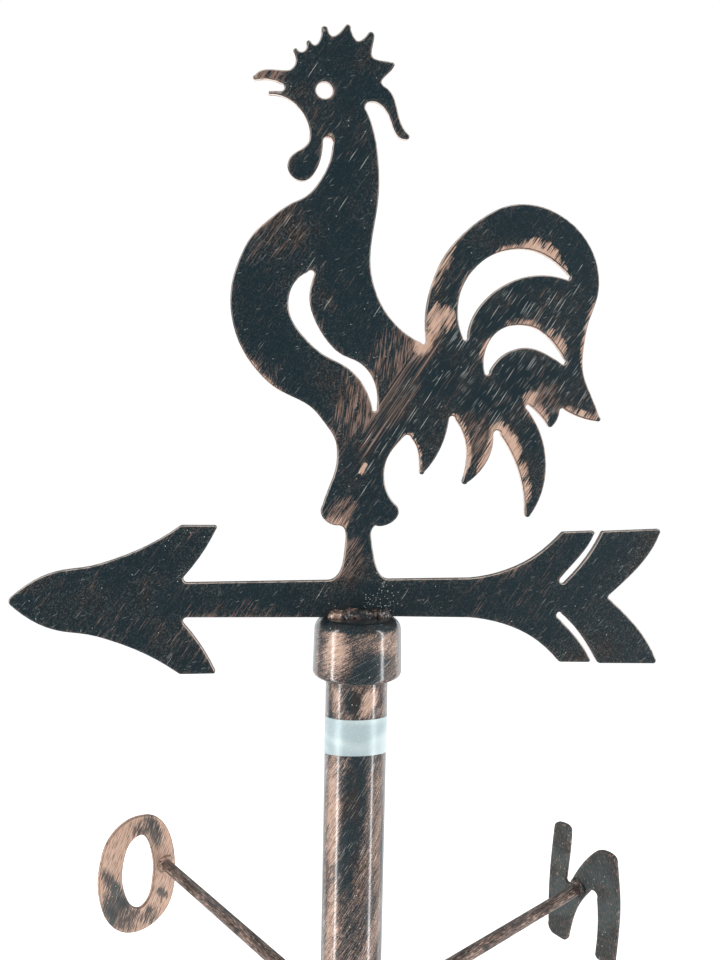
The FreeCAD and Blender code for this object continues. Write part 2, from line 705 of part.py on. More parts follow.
def rain_cap():
    wall = "dims.cap_diameter / 2"
    neck = "dims.cap_neck / 2"
    hollow = "dims.cap_neck / 2 - dims.cap_wall"
    rim = "dims.cap_top - dims.cap_height"
    ceiling = "dims.cap_top - dims.cap_roof"
    body = turned("rain_cap", [
        ("0", ceiling), (hollow, ceiling), (hollow, rim), (wall, rim), (neck, "dims.cap_top"),
        ("0", "dims.cap_top"),
    ])
    rounded = fillet(body, body.Tip,
                     lambda e: is_circle_at(e, value(neck), value("dims.cap_top")), "dims.cap_shoulder")
    fillet(body, rounded, lambda e: is_circle_at(e, value(wall), value(rim)), "dims.cap_rim_round")


def sheet_weld(label, side):
    """A bead along the sheet's foot on the cap: a quarter of a round-ended bar."""
    reach = "(dims.bead_length / 2 - dims.bead_radius)"
    bar = cylinder(label + "_bar", "dims.bead_radius", "2 * " + reach, "dims.cap_top")
    bar.Placement.Rotation = Rotation(Vector(0, 1, 0), 90)
    bar.setExpression(".Placement.Base.x", "-" + reach)
    rounds = []
    for end in ("-1", "1"):
        ball = doc.addObject("Part::Sphere", label + "_end")
        ball.setExpression("Radius", "dims.bead_radius")
        ball.setExpression(".Placement.Base.x", end + " * " + reach)
        ball.setExpression(".Placement.Base.z", "dims.cap_top")
        rounds.append(ball)
    for solid in [bar] + rounds:
        solid.setExpression(".Placement.Base.y", "%d * dims.sheet_thickness / 2" % side)
    whole = doc.addObject("Part::MultiFuse", label + "_whole")
    whole.Shapes = [bar] + rounds
    room = doc.addObject("Part::Box", label + "_room")
    room.setExpression("Length", "dims.bead_length")
    room.setExpression("Width", "dims.bead_radius")
    room.setExpression("Height", "dims.bead_radius")
    room.setExpression(".Placement.Base.x", "-dims.bead_length / 2")
    outwards = "dims.sheet_thickness / 2" if side > 0 else "-dims.sheet_thickness / 2 - dims.bead_radius"
    room.setExpression(".Placement.Base.y", outwards)
    room.setExpression(".Placement.Base.z", "dims.cap_top")
    bead = doc.addObject("Part::MultiCommon", label)
    bead.Label = label
    bead.Shapes = [whole, room]
    pieces[label] = bead


def spindle():
    ceiling = "dims.cap_top - dims.cap_roof"
    head = ceiling + " - dims.spindle_head_height"
    nut_foot = LOWER_FOOT + " - dims.washer_thickness - dims.nut_height"
    turned("spindle", [
        ("0", nut_foot + " - dims.spindle_tail"), (SHAFT, nut_foot + " - dims.spindle_tail"),
        (SHAFT, UPPER_TOP), ("dims.spacer_diameter / 2", UPPER_TOP),
        ("dims.spacer_diameter / 2", head), ("dims.spindle_head / 2", head),
        ("dims.spindle_head / 2", ceiling), ("0", ceiling),
    ])
    turned("spindle_weld", [
        ("dims.spindle_head / 2", ceiling),
        ("dims.spindle_head / 2", ceiling + " - dims.spindle_weld"),
        ("dims.spindle_head / 2 + dims.spindle_weld", ceiling),
    ])


def spindle_hardware():
    spacer = "dims.spacer_diameter / 2"
    turned("inner_ring_spacer", [
        (SHAFT, LOWER_TOP), (spacer, LOWER_TOP), (spacer, UPPER_FOOT), (SHAFT, UPPER_FOOT),
    ])
    washer_foot = LOWER_FOOT + " - dims.washer_thickness"
    turned("spindle_washer", [
        ("dims.washer_bore / 2", washer_foot), ("dims.washer_diameter / 2", washer_foot),
        ("dims.washer_diameter / 2", LOWER_FOOT), ("dims.washer_bore / 2", LOWER_FOOT),
    ])
    blank = doc.addObject("Part::Prism", "spindle_nut_blank")
    blank.Polygon = 6
    blank.setExpression("Circumradius", "dims.nut_flats / sqrt(3)")
    blank.setExpression("Height", "dims.nut_height")
    blank.setExpression(".Placement.Base.z", washer_foot + " - dims.nut_height")
    thread = cylinder("spindle_nut_bore", SHAFT, "dims.nut_height * 2",
                      washer_foot + " - dims.nut_height * 1.5")
    pieces["spindle_nut"] = cut("spindle_nut", blank, thread)


# ---------------------------------------------------------------------- the compass
HUB = "dims.cap_top - dims.hub_drop"
ROD = "dims.rod_diameter / 2"
COLLAR = "dims.collar_diameter / 2"
REACH = "dims.rod_reach"


def radial_piece(label, quarter, corners, on_collar):
    """A piece turned about a compass rod; corners are (distance from mast, radius)."""
    body = new_body(label)
    sketch = sketch_on(body, "YZ_Plane")
    draw_polygon(sketch, corners)
    revolve(body, sketch, "H_Axis")
    if on_collar:
        saddle = sketch_on(body, "XY_Plane")
        draw_circle(saddle, "0", "0", COLLAR)
        pocket(body, saddle, "dims.collar_height * 2")
    place(body, HUB, "dims.compass_turn + %d" % (90 * quarter))


def compass_letter(label, quarter, outlines):
    body = new_body(label)
    sketch = sketch_on(body, "XZ_Plane")
    for outline in outlines:
        outline.draw(sketch)
    sketch.setExpression(".AttachmentOffset.Base.z", "-" + REACH)
    pad(body, sketch, "dims.letter_thickness", side="One side", backwards=True)
    place(body, HUB, "dims.compass_turn + %d" % (90 * quarter))


def compass_rods():
    """Rods and their welds; quarter turns run counter-clockwise from north."""
    for quarter, name in enumerate(("north", "west", "south", "east")):
        radial_piece("compass_rod_" + name, quarter, [
            ("dims.mast_diameter / 2", "0"), (REACH, "0"), (REACH, ROD), ("dims.mast_diameter / 2", ROD),
        ], on_collar=True)
        radial_piece("collar_weld_" + name, quarter, [
            ("dims.mast_diameter / 2", ROD),
            (COLLAR + " + dims.rod_weld", ROD),
            (COLLAR + " + dims.rod_weld / 3", ROD + " + dims.rod_weld"),
            ("dims.mast_diameter / 2", ROD + " + dims.rod_weld"),
        ], on_collar=True)
        radial_piece("letter_weld_" + name, quarter, [
            (REACH + " - dims.letter_weld * 1.4", ROD),
            (REACH, ROD),
            (REACH, ROD + " + dims.letter_weld"),
            (REACH + " - dims.letter_weld * 0.4", ROD + " + dims.letter_weld * 0.8"),
        ], on_collar=False)


def compass_letters():
    compass_letter("letter_n", 0, letter_n_outline())
    compass_letter("letter_o", 1, letter_o_outline())
    compass_letter("letter_s", 2, letter_s_outline())
    compass_letter("letter_e", 3, letter_e_outline())


def compass_collar():
    bore = cylinder("collar_bore", "dims.mast_diameter / 2 + dims.collar_gap",
                    "dims.collar_height * 2", "-dims.collar_height")
    screw_hole = cylinder("collar_screw_hole", "dims.screw_diameter / 2 + dims.screw_gap",
                          "dims.collar_diameter * 2", "0")
    screw_hole.Placement.Rotation = Rotation(Vector(-1, 1, 0), 90)
    screw_hole.setExpression(".Placement.Base.x", "-dims.collar_diameter * sqrt(0.5)")
    screw_hole.setExpression(".Placement.Base.y", "-dims.collar_diameter * sqrt(0.5)")
    holes = doc.addObject("Part::MultiFuse", "collar_holes")
    holes.Shapes = [bore, screw_hole]
    ring = cylinder("collar_blank", COLLAR, "dims.collar_height", "-dims.collar_height / 2")
    collar = cut("compass_collar", ring, holes)
    place(collar, HUB, "dims.compass_turn")
    pieces["compass_collar"] = collar


def clamp_screw(label, turn):
    """A hexagon-headed screw along a radius: its own Z runs outwards from the mast."""
    head_foot = COLLAR + " + dims.screw_stand"
    tip = "dims.mast_diameter / 2 + dims.screw_gap"
    shank = cylinder(label + "_shank", "dims.screw_diameter / 2", head_foot + " + 1 - (" + tip + ")", tip)
    head = doc.addObject("Part::Prism", label + "_head")
    head.Polygon = 6
    head.setExpression("Circumradius", "dims.screw_flats / sqrt(3)")
    head.setExpression("Height", "dims.screw_head")
    head.setExpression(".Placement.Base.z", head_foot)
    screw = doc.addObject("Part::Fuse", label)
    screw.Label = label
    screw.Base = shank
    screw.Tool = head
    heading = value("dims.compass_turn") + 90 + turn
    screw.Placement = Placement(Vector(0, 0, value(HUB)),
                                Rotation(Z_AXIS, heading) * Rotation(Vector(0, 1, 0), 90))
    screw.setExpression(".Placement.Base.z", HUB)
    pieces[label] = screw


# ---------------------------------------------------------------------------- build
base_plate()
mast_tube()
mast_foot_weld()
mast_label()
bearing_housing()
retaining_clip()
ball_bearings()
rooster_arrow_sheet()
sheet_weld("sheet_weld_front", -1)
sheet_weld("sheet_weld_back", 1)
rain_cap()
spindle()
spindle_hardware()
compass_collar()
compass_rods()
compass_letters()
clamp_screw("clamp_screw_1", -45)
clamp_screw("clamp_screw_2", 135)
doc.recompute()

for item in doc.Objects:
    if "Invalid" in item.State or "Error" in item.State:
        raise RuntimeError("%s: %s" % (item.Label, item.State))
for label, piece in pieces.items():
    shape = piece.Shape
    if shape.isNull() or not shape.isValid() or len(shape.Solids) != 1:
        raise RuntimeError("%s is not one valid solid" % label)

os.makedirs("parts", exist_ok=True)
for label, piece in pieces.items():
    piece.Shape.exportStep("parts/%s.step" % label)
    box = piece.Shape.BoundBox
    print("%-22s %9.1f mm3  x %7.1f %7.1f  y %7.1f %7.1f  z %7.1f %7.1f" % (
        label, piece.Shape.Volume, box.XMin, box.XMax, box.YMin, box.YMax, box.ZMin, box.ZMax))
print(len(pieces), "pieces")
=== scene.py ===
"""Looks for the rooster weather vane.

The cut plates get rounded edges, the welds become lumpy beads, the collar becomes a turned
ring, the label's edges bow, and every surface gets its own brushed or worn finish.  Meshes are
in metres.  Shaders work in millimetres.
"""
import json
import math

import bmesh
import bpy
import numpy as np
from mathutils import Matrix, Vector, noise
from mathutils.geometry import delaunay_2d_cdt
from mathutils.kdtree import KDTree


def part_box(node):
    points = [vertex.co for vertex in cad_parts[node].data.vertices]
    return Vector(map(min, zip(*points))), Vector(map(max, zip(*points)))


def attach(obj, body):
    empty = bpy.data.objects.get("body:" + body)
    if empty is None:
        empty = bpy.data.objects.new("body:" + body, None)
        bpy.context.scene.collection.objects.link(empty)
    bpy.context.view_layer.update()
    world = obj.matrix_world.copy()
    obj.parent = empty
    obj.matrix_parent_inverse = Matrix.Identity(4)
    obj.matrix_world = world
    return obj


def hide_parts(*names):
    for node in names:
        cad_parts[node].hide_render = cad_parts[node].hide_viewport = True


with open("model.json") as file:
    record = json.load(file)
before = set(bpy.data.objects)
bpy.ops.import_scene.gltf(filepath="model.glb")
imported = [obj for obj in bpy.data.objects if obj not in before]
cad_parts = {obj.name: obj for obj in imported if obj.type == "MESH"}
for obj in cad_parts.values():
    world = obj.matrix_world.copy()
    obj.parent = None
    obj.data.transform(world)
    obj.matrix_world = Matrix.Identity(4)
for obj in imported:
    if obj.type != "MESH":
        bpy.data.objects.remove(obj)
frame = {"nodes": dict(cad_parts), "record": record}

MM = 0.001
UP = Vector((0, 0, 1))
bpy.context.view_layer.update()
CAP_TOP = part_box("rain_cap")[1].z
CAP_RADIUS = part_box("rain_cap")[1].x
MAST_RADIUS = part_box("mast_tube")[1].x
SHEET_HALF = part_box("rooster_arrow_sheet")[1].y
HUB = (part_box("compass_collar")[0].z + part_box("compass_collar")[1].z) / 2
COLLAR_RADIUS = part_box("compass_collar")[1].x
BASE_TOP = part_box("base_plate")[1].z
ROD_RADIUS = (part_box("compass_rod_north")[1].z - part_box("compass_rod_north")[0].z) / 2
LETTERS = {"north": "letter_n", "west": "letter_o", "south": "letter_s", "east": "letter_e"}


def arm(name):
    """Unit vector from the mast along one compass rod."""
    low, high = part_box("compass_rod_" + name)
    middle = (low + high) / 2
    return Vector((middle.x, middle.y, 0)).normalized()


def letter_face(name):
    """Distance from the mast's axis to the inner face of a letter."""
    points = frame["nodes"][LETTERS[name]].data.vertices
    return min(v.co.dot(arm(name)) for v in points)


def add_mesh(name, points, faces):
    mesh = bpy.data.meshes.new(name)
    mesh.from_pydata([tuple(p) for p in points], [], faces)
    mesh.update()
    for polygon in mesh.polygons:
        polygon.use_smooth = True
    made = bpy.data.objects.new(name, mesh)
    bpy.context.scene.collection.objects.link(made)
    return made


def skin(name, rings, closed):
    """A mesh over rings of points.  The last ring meets the first, or both ends are capped."""
    count = len(rings[0])
    faces = []
    for row in range(len(rings) if closed else len(rings) - 1):
        here = row * count
        there = (row + 1) % len(rings) * count
        for k in range(count):
            after = (k + 1) % count
            faces.append((here + k, here + after, there + after, there + k))
    if not closed:
        faces.append(list(range(count)))
        faces.append(list(range((len(rings) - 1) * count, len(rings) * count)))
    piece = add_mesh(name, [point for ring in rings for point in ring], faces)
    mesh = bmesh.new()
    mesh.from_mesh(piece.data)
    bmesh.ops.recalc_face_normals(mesh, faces=mesh.faces)
    mesh.to_mesh(piece.data)
    mesh.free()
    return piece


def stand_for(piece, node, body):
    """The piece takes the CAD node's place."""
    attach(piece, body)
    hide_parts(node)
    return piece


# ---------------------------------------------------------------------- cut plates
EDGE_ROUND = 0.65 * MM
ROUND_STEPS = 3
ROUND_SHARE = 0.2        # of the metal's width, where it is narrow
ROUND_SLOPE = 0.35       # fastest change of the rounding along the edge
ROUND_PASSES = 40
FOLD_SHARE = 0.2         # shortest edge of the innermost ring, as a share of the outline's edge
FOLD_SHRINK = 0.8
MITRE_LIMIT = 0.8        # cosine of half the sharpest turn that is mitred in full
FLAT_MARGIN = 1.35       # distance of the innermost ring from the edge, in roundings
FRONT_COSINE = 0.99
LONGEST_EDGE = 1.6 * MM
GRID = 2.4 * MM
GRID_ROW = 0.866         # distance between rows, in grid steps
GRID_CLEARANCE = 0.9     # least distance from the plate's edge, in grid steps
PLACE_BORDER = 0.65      # share of a mask's place over which it fades out
TINY = 1e-6
WIDE_OPEN = 1.0


def outline_loops(node, across, up):
    """Loops of 2-D points round a plate's face, with the metal on the left of each."""
    facing = across.cross(up)
    mesh = bmesh.new()
    mesh.from_mesh(frame["nodes"][node].data)
    bmesh.ops.remove_doubles(mesh, verts=mesh.verts, dist=TINY)
    mesh.normal_update()
    front = [face for face in mesh.faces if face.normal.dot(facing) > FRONT_COSINE]
    in_front = set(front)
    following = {}
    for face in front:
        for corner in face.loops:
            if corner.link_loop_radial_next.face not in in_front:
                following[corner.vert] = corner.link_loop_next.vert
    loops = []
    while following:
        start, vert = following.popitem()
        loop = [start]
        while vert != start:
            loop.append(vert)
            vert = following.pop(vert)
        loops.append(np.array([(v.co.dot(across), v.co.dot(up)) for v in loop]))
    mesh.free()
    return [divided(loop) for loop in loops]


def divided(loop):
    """The loop with its long straight edges cut into shorter ones."""
    points = []
    for here, there in zip(loop, np.roll(loop, -1, axis=0)):
        count = max(1, math.ceil(np.hypot(*(there - here)) / LONGEST_EDGE))
        points += [here + (there - here) * k / count for k in range(count)]
    return np.array(points)


def inward(loop):
    """Vectors from each point into the metal, which move both its edges by one unit."""
    along = np.roll(loop, -1, axis=0) - loop
    along /= np.hypot(along[:, 0], along[:, 1])[:, None]
    normal = np.stack([-along[:, 1], along[:, 0]], axis=1)
    middle = normal + np.roll(normal, 1, axis=0)
    middle /= np.maximum(np.hypot(middle[:, 0], middle[:, 1]), TINY)[:, None]
    return middle / np.maximum((middle * normal).sum(axis=1), MITRE_LIMIT)[:, None]


def room(loop, towards, loops):
    """Distance across the metal from each point of the loop, to the nearest edge that it meets."""
    start = np.concatenate(loops)
    edge = np.concatenate([np.roll(one, -1, axis=0) - one for one in loops])
    free = np.full(len(loop), WIDE_OPEN)
    for index, (point, way) in enumerate(zip(loop, towards)):
        gap = start - point
        turn = way[0] * edge[:, 1] - way[1] * edge[:, 0]
        turn[np.abs(turn) < TINY ** 2] = TINY ** 2
        reach = (gap[:, 0] * edge[:, 1] - gap[:, 1] * edge[:, 0]) / turn
        place = (gap[:, 0] * way[1] - gap[:, 1] * way[0]) / turn
        hits = reach[(place > -TINY) & (place < 1 + TINY) & (reach > 10 * TINY)]
        if len(hits):
            free[index] = hits.min()
    return free


def edge_rounding(loop, towards, loops):
    """How far the rounding reaches in from each point: less where the metal is narrow, and
    less at a sharp corner, where the innermost ring would fold over itself."""
    edge = np.roll(loop, -1, axis=0) - loop
    step = np.hypot(edge[:, 0], edge[:, 1])
    reach = np.minimum(EDGE_ROUND, ROUND_SHARE * room(loop, towards, loops))
    for _ in range(ROUND_PASSES):
        moved = towards * (FLAT_MARGIN * reach)[:, None]
        inner = edge + np.roll(moved, -1, axis=0) - moved
        folded = (inner * edge).sum(axis=1) < FOLD_SHARE * step ** 2
        reach = np.where(folded | np.roll(folded, 1), FOLD_SHRINK * reach, reach)
        reach = np.minimum(reach, np.roll(reach, 1) + ROUND_SLOPE * np.roll(step, 1))
        reach = np.minimum(reach, np.roll(reach, -1) + ROUND_SLOPE * step)
    return reach[:, None]


def inside(points, loops):
    """True for each point that lies in the metal."""
    within = np.zeros(len(points), bool)
    for loop in loops:
        for (x0, y0), (x1, y1) in zip(loop, np.roll(loop, -1, axis=0)):
            if y0 != y1:
                crossing = x0 + (points[:, 1] - y0) * (x1 - x0) / (y1 - y0)
                between = (points[:, 1] > min(y0, y1)) & (points[:, 1] <= max(y0, y1))
                within ^= between & (points[:, 0] < crossing)
    return within


def rim_tree(loops):
    """A tree that finds the distance to the nearest point of the outline."""
    points = np.concatenate(loops)
    tree = KDTree(len(points))
    for index, (x, y) in enumerate(points):
        tree.insert((x, y, 0), index)
    tree.balance()
    return tree


def fill_points(loops, tree):
    """A staggered grid of points over the metal, clear of its edges."""
    low = np.concatenate(loops).min(axis=0)
    high = np.concatenate(loops).max(axis=0)
    points = []
    for row, y in enumerate(np.arange(low[1], high[1], GRID * GRID_ROW)):
        for x in np.arange(low[0] + GRID * 0.5 * (row % 2), high[0], GRID):
            points.append((x, y))
    points = np.array(points)
    points = points[inside(points, loops)]
    return [p for p in points if tree.find((p[0], p[1], 0))[2] > GRID_CLEARANCE * GRID]


def mask(points, places):
    """The strength of the places at each point.  A place is (across, up, half length, half width,
    angle, strength), in millimetres and degrees."""
    total = np.zeros(len(points))
    for across, up, length, width, angle, strength in places:
        away = points - np.array((across, up))
        cosine = math.cos(math.radians(angle))
        sine = math.sin(math.radians(angle))
        along = (away[:, 0] * cosine + away[:, 1] * sine) / length
        aside = (away[:, 1] * cosine - away[:, 0] * sine) / width
        near = np.clip((1 - np.hypot(along, aside)) / PLACE_BORDER, 0, 1)
        total += strength * near * near * (3 - 2 * near)
    return total


def store(piece, name, values):
    attribute = piece.data.attributes.new(name, "FLOAT", "POINT")
    attribute.data.foreach_set("value", np.asarray(values, np.float32))


class Plate:
    """Points and faces of a flat plate with rounded edges.  A point has a flat place and a depth
    from the plate's middle, in metres, and a distance from the edge in millimetres."""

    def __init__(self, loops, half):
        self.loops = loops
        self.half = half
        self.flat = []
        self.depth = []
        self.rim = []
        self.faces = []
        self.front_rings = []
        self.back_rings = []
        for loop in loops:
            self.wrap(loop)
        self.fill()

    def wrap(self, loop):
        """Adds rings of points from the front face over the rounded edge to the back face."""
        towards = inward(loop)
        reach = edge_rounding(loop, towards, self.loops)
        rings = [(FLAT_MARGIN * reach, self.half + 0 * reach)]
        for step in range(ROUND_STEPS + 1):
            turn = math.pi / 2 * step / ROUND_STEPS
            rings.append((reach * (1 - math.sin(turn)), self.half - reach * (1 - math.cos(turn))))
        rings += [(inset, -height) for inset, height in reversed(rings)]
        first = len(self.flat)
        count = len(loop)
        for inset, height in rings:
            self.flat += list(loop + towards * inset)
            self.depth += list(height[:, 0])
            self.rim += list(inset[:, 0] / MM)
        last = first + (len(rings) - 1) * count
        for row in range(first, last, count):
            for k in range(count):
                here = row + k
                after = row + (k + 1) % count
                self.faces.append((after, here, here + count, after + count))
        self.front_rings.append(list(range(first, first + count)))
        self.back_rings.append(list(range(last, last + count)))

    def fill(self):
        """Covers the front and the back with triangles inside the innermost rings."""
        tree = rim_tree(self.loops)
        front_points = [index for ring in self.front_rings for index in ring]
        back_points = [index for ring in self.back_rings for index in ring]
        sources = [self.flat[index] for index in front_points] + fill_points(self.loops, tree)
        order = {index: place for place, index in enumerate(front_points)}
        edges = []
        for ring in self.front_rings:
            edges += [(order[a], order[b]) for a, b in zip(ring, ring[1:] + ring[:1])]
        found = delaunay_2d_cdt([Vector(p) for p in sources], edges, [], 0, TINY / 10, True)
        made, _, triangles, origin, _, _ = found
        front = []
        back = []
        for place, given in zip(made, origin):
            if given and given[0] < len(front_points):
                front.append(front_points[given[0]])
                back.append(back_points[given[0]])
            else:
                front.append(len(self.flat))
                back.append(len(self.flat) + 1)
                self.flat += [np.array(place)] * 2
                self.depth += [self.half, -self.half]
                self.rim += [tree.find((place[0], place[1], 0))[2] / MM] * 2
        centres = np.array([sum((made[i] for i in t), Vector((0, 0))) / 3 for t in triangles])
        innermost = [np.array([self.flat[i] for i in ring]) for ring in self.front_rings]
        for triangle, kept in zip(triangles, inside(centres, innermost)):
            if kept:
                self.faces.append([front[i] for i in triangle])
                self.faces.append([back[i] for i in reversed(triangle)])


def rounded_plate(node, body, across, up, level, masks):
    """A copy of a flat CAD plate with rounded edges.  It stores each point's distance from the
    edge, and each mask's strength from places measured from the mast's axis and a level."""
    facing = across.cross(up)
    depths = [v.co.dot(facing) for v in frame["nodes"][node].data.vertices]
    middle = facing * (max(depths) + min(depths)) / 2
    plate = Plate(outline_loops(node, across, up), (max(depths) - min(depths)) / 2)
    points = []
    for (x, y), height in zip(plate.flat, plate.depth):
        points.append(middle + across * x + up * y + facing * height)
    piece = add_mesh(node + "_cut", points, plate.faces)
    store(piece, "rim", plate.rim)
    flat = (np.array(plate.flat) - np.array((0, level))) / MM
    for name, places in masks.items():
        store(piece, name, mask(flat, places))
    return stand_for(piece, node, body)


# ---------------------------------------------------------------------- weld beads
BEAD_STEPS = 9
BEAD_SIZE = 0.86
BEAD_WAVE = 0.09
LUMP_SCALE = 260
FINE_LUMP_SCALE = 700
THINNEST = 0.05
BLUNTNESS = 7
SUNK = 0.35 * MM
COLLAR_BITE = 0.4 * MM
SHEET_LEG = 5.4 * MM
LETTER_LEG = 3.1 * MM
COLLAR_LEG = 3.4 * MM
FOOT_LEG = 5 * MM
SHEET_STATIONS = 130
ROD_STATIONS = 72
FOOT_STATIONS = 150
SHEET_BEAD_START = 0.1 * MM    # how far the bead runs past the CAD weld's ends
SHEET_BEAD_END = 1.4 * MM


def weld_bead(name, node, body, stations, leg, closed, ripple=1.7 * MM, lumps=0.3):
    """A lumpy bead in the corner between two walls.  Each station is a corner point and the
    two directions that lead away from it along the walls.  The leg is the bead's size along
    each wall, and the ripple is the spacing of its waves."""
    rings = []
    travelled = 0.0
    previous = stations[0][0]
    for index, (corner, side, rise) in enumerate(stations):
        travelled += (corner - previous).length
        previous = corner
        taper = 1.0
        if not closed:
            share = 2 * index / (len(stations) - 1) - 1
            taper = max(THINNEST, 1 - abs(share) ** BLUNTNESS) ** 0.5
        root = corner - (side + rise) * SUNK
        ring = [root - (side + rise) * SUNK]
        for step in range(BEAD_STEPS + 1):
            turn = math.pi / 2 * step / BEAD_STEPS
            wave = abs(math.sin(math.pi * (travelled / ripple + 0.5 * math.sin(2 * turn))))
            outward = side * math.cos(turn) + rise * math.sin(turn)
            place = corner + outward * leg
            lump = noise.noise(place * LUMP_SCALE) + 0.5 * noise.noise(place * FINE_LUMP_SCALE)
            size = leg * taper * (BEAD_SIZE + BEAD_WAVE * wave + lumps * lump)
            ring.append(root + outward * size)
        rings.append(ring)
    return stand_for(skin(name, rings, closed), node, body)


def round_stations(count, place):
    """Stations at even steps round a circle."""
    return [place(2 * math.pi * k / count) for k in range(count)]


def make_welds():
    """A bead on each side of the sheet, at both ends of each rod, and round the mast's foot."""
    made = []
    for side, word in ((-1, "front"), (1, "back")):
        low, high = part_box("sheet_weld_" + word)
        start = low.x - SHEET_BEAD_START
        length = high.x + SHEET_BEAD_END - start
        stations = []
        for k in range(SHEET_STATIONS):
            x = start + length * k / (SHEET_STATIONS - 1)
            corner = Vector((x, side * SHEET_HALF, CAP_TOP))
            stations.append((corner, Vector((0, side, 0)), UP))
        made.append(weld_bead("sheet_bead_" + word, "sheet_weld_" + word, "vane",
                              stations, SHEET_LEG, False, ripple=3.4 * MM, lumps=0.28))
    for name in LETTERS:
        way = arm(name)
        across = UP.cross(way)
        reach = letter_face(name)

        def at_letter(turn):
            outward = across * math.cos(turn) + UP * math.sin(turn)
            return way * reach + UP * HUB + outward * ROD_RADIUS, outward, -way

        def at_collar(turn):
            outward = across * math.cos(turn) + UP * math.sin(turn)
            sideways = ROD_RADIUS * math.cos(turn)
            depth = math.sqrt(COLLAR_RADIUS ** 2 - sideways ** 2) - COLLAR_BITE
            return way * depth + UP * HUB + outward * ROD_RADIUS, outward, way

        made.append(weld_bead("letter_bead_" + name, "letter_weld_" + name, "compass",
                              round_stations(ROD_STATIONS, at_letter), LETTER_LEG, True, lumps=0.5))
        made.append(weld_bead("collar_bead_" + name, "collar_weld_" + name, "compass",
                              round_stations(ROD_STATIONS, at_collar), COLLAR_LEG, True))

    def at_foot(turn):
        outward = Vector((math.cos(turn), math.sin(turn), 0))
        return outward * MAST_RADIUS + UP * BASE_TOP, outward, UP

    made.append(weld_bead("mast_foot_bead", "mast_foot_weld", "mast",
                          round_stations(FOOT_STATIONS, at_foot), FOOT_LEG, True))
    return made


# ---------------------------------------------------------------------- collar
COLLAR_ROUND = 0.6 * MM
COLLAR_STEPS = 4
COLLAR_SIDES = 144
COLLAR_PLAY = 0.06 * MM


def make_collar():
    """A turned ring with rounded edges."""
    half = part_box("compass_collar")[1].z - HUB
    outer = COLLAR_RADIUS - COLLAR_ROUND
    inner = MAST_RADIUS + COLLAR_PLAY + COLLAR_ROUND
    level = half - COLLAR_ROUND
    profile = []
    corners = ((outer, level), (inner, level), (inner, -level), (outer, -level))
    for quarter, corner in enumerate(corners):
        centre = Vector(corner)
        arc = []
        for step in range(COLLAR_STEPS + 1):
            turn = math.pi / 2 * (quarter + step / COLLAR_STEPS)
            arc.append(centre + COLLAR_ROUND * Vector((math.cos(turn), math.sin(turn))))
        # A point on the flat face next to each end of the arc keeps that face flat to the eye.
        profile += [centre + arc[0] - arc[-1]] + arc + [centre + arc[-1] - arc[0]]
    rings = []
    for side in range(COLLAR_SIDES):
        turn = 2 * math.pi * side / COLLAR_SIDES
        way = Vector((math.cos(turn), math.sin(turn), 0))
        rings.append([way * radius + UP * (HUB + height) for radius, height in profile])
    return stand_for(skin("collar_turned", rings, True), "compass_collar", "compass")


# ---------------------------------------------------------------------- label
LABEL_COLUMNS = 72
LABEL_CORNER = 1.5 * MM
LABEL_ROWS = (0, 0.008, 0.02, 0.25, 0.5, 0.75, 0.98, 0.992, 1)
LABEL_TOP = 2.0 * MM
LABEL_TOP_BOW = 2.7 * MM
LABEL_FOOT = 0.4 * MM
LABEL_FOOT_BOW = 4.0 * MM
LABEL_SUNK = 0.05 * MM


def make_label():
    """A stuck band whose edges bow down a little round the sides of the mast."""
    low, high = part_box("mast_label")
    edge = [v.co for v in frame["nodes"]["mast_label"].data.vertices]
    reach = max(math.atan2(abs(p.x), -p.y) for p in edge)
    radius = max(math.hypot(p.x, p.y) for p in edge)
    rings = []
    for column in range(LABEL_COLUMNS + 1):
        turn = -reach * math.cos(math.pi * column / LABEL_COLUMNS)
        way = Vector((math.sin(turn), -math.cos(turn), 0))
        bow = 1 - math.cos(turn)
        short = max(0.0, LABEL_CORNER - radius * (reach - abs(turn)))
        cut = LABEL_CORNER - math.sqrt(LABEL_CORNER ** 2 - short ** 2)
        top = high.z - LABEL_TOP - LABEL_TOP_BOW * bow - cut
        bottom = low.z - LABEL_FOOT - LABEL_FOOT_BOW * bow + cut
        heights = [bottom + (top - bottom) * share for share in LABEL_ROWS]
        outside = [way * radius + UP * height for height in heights]
        under = [way * (MAST_RADIUS - LABEL_SUNK) + UP * height for height in reversed(heights)]
        rings.append(outside + under)
    return stand_for(skin("label_band", rings, False), "mast_label", "mast")


# ---------------------------------------------------------------------- screws
SCREW_ROUND = 0.35 * MM
SHARP_ANGLE = 35


def soften(node):
    """Rounds the sharp edges of a CAD screw."""
    piece = frame["nodes"][node]
    weld = piece.modifiers.new("weld", "WELD")
    weld.merge_threshold = TINY
    bevel = piece.modifiers.new("bevel", "BEVEL")
    bevel.width = SCREW_ROUND
    bevel.segments = 3
    bevel.limit_method = "ANGLE"
    bevel.angle_limit = math.radians(SHARP_ANGLE)
    bevel.harden_normals = True


# ---------------------------------------------------------------------- shader kit
def colour(red, green, blue):
    """A linear colour from the 0 to 255 numbers of a screen."""
    def linear(level):
        share = level / 255
        return share / 12.92 if share <= 0.04045 else ((share + 0.055) / 1.055) ** 2.4
    return linear(red), linear(green), linear(blue), 1.0


ANY_DEPTH = 1e5          # so long that a patch is the same at every depth
BUMP_DEPTH = 0.2 * MM


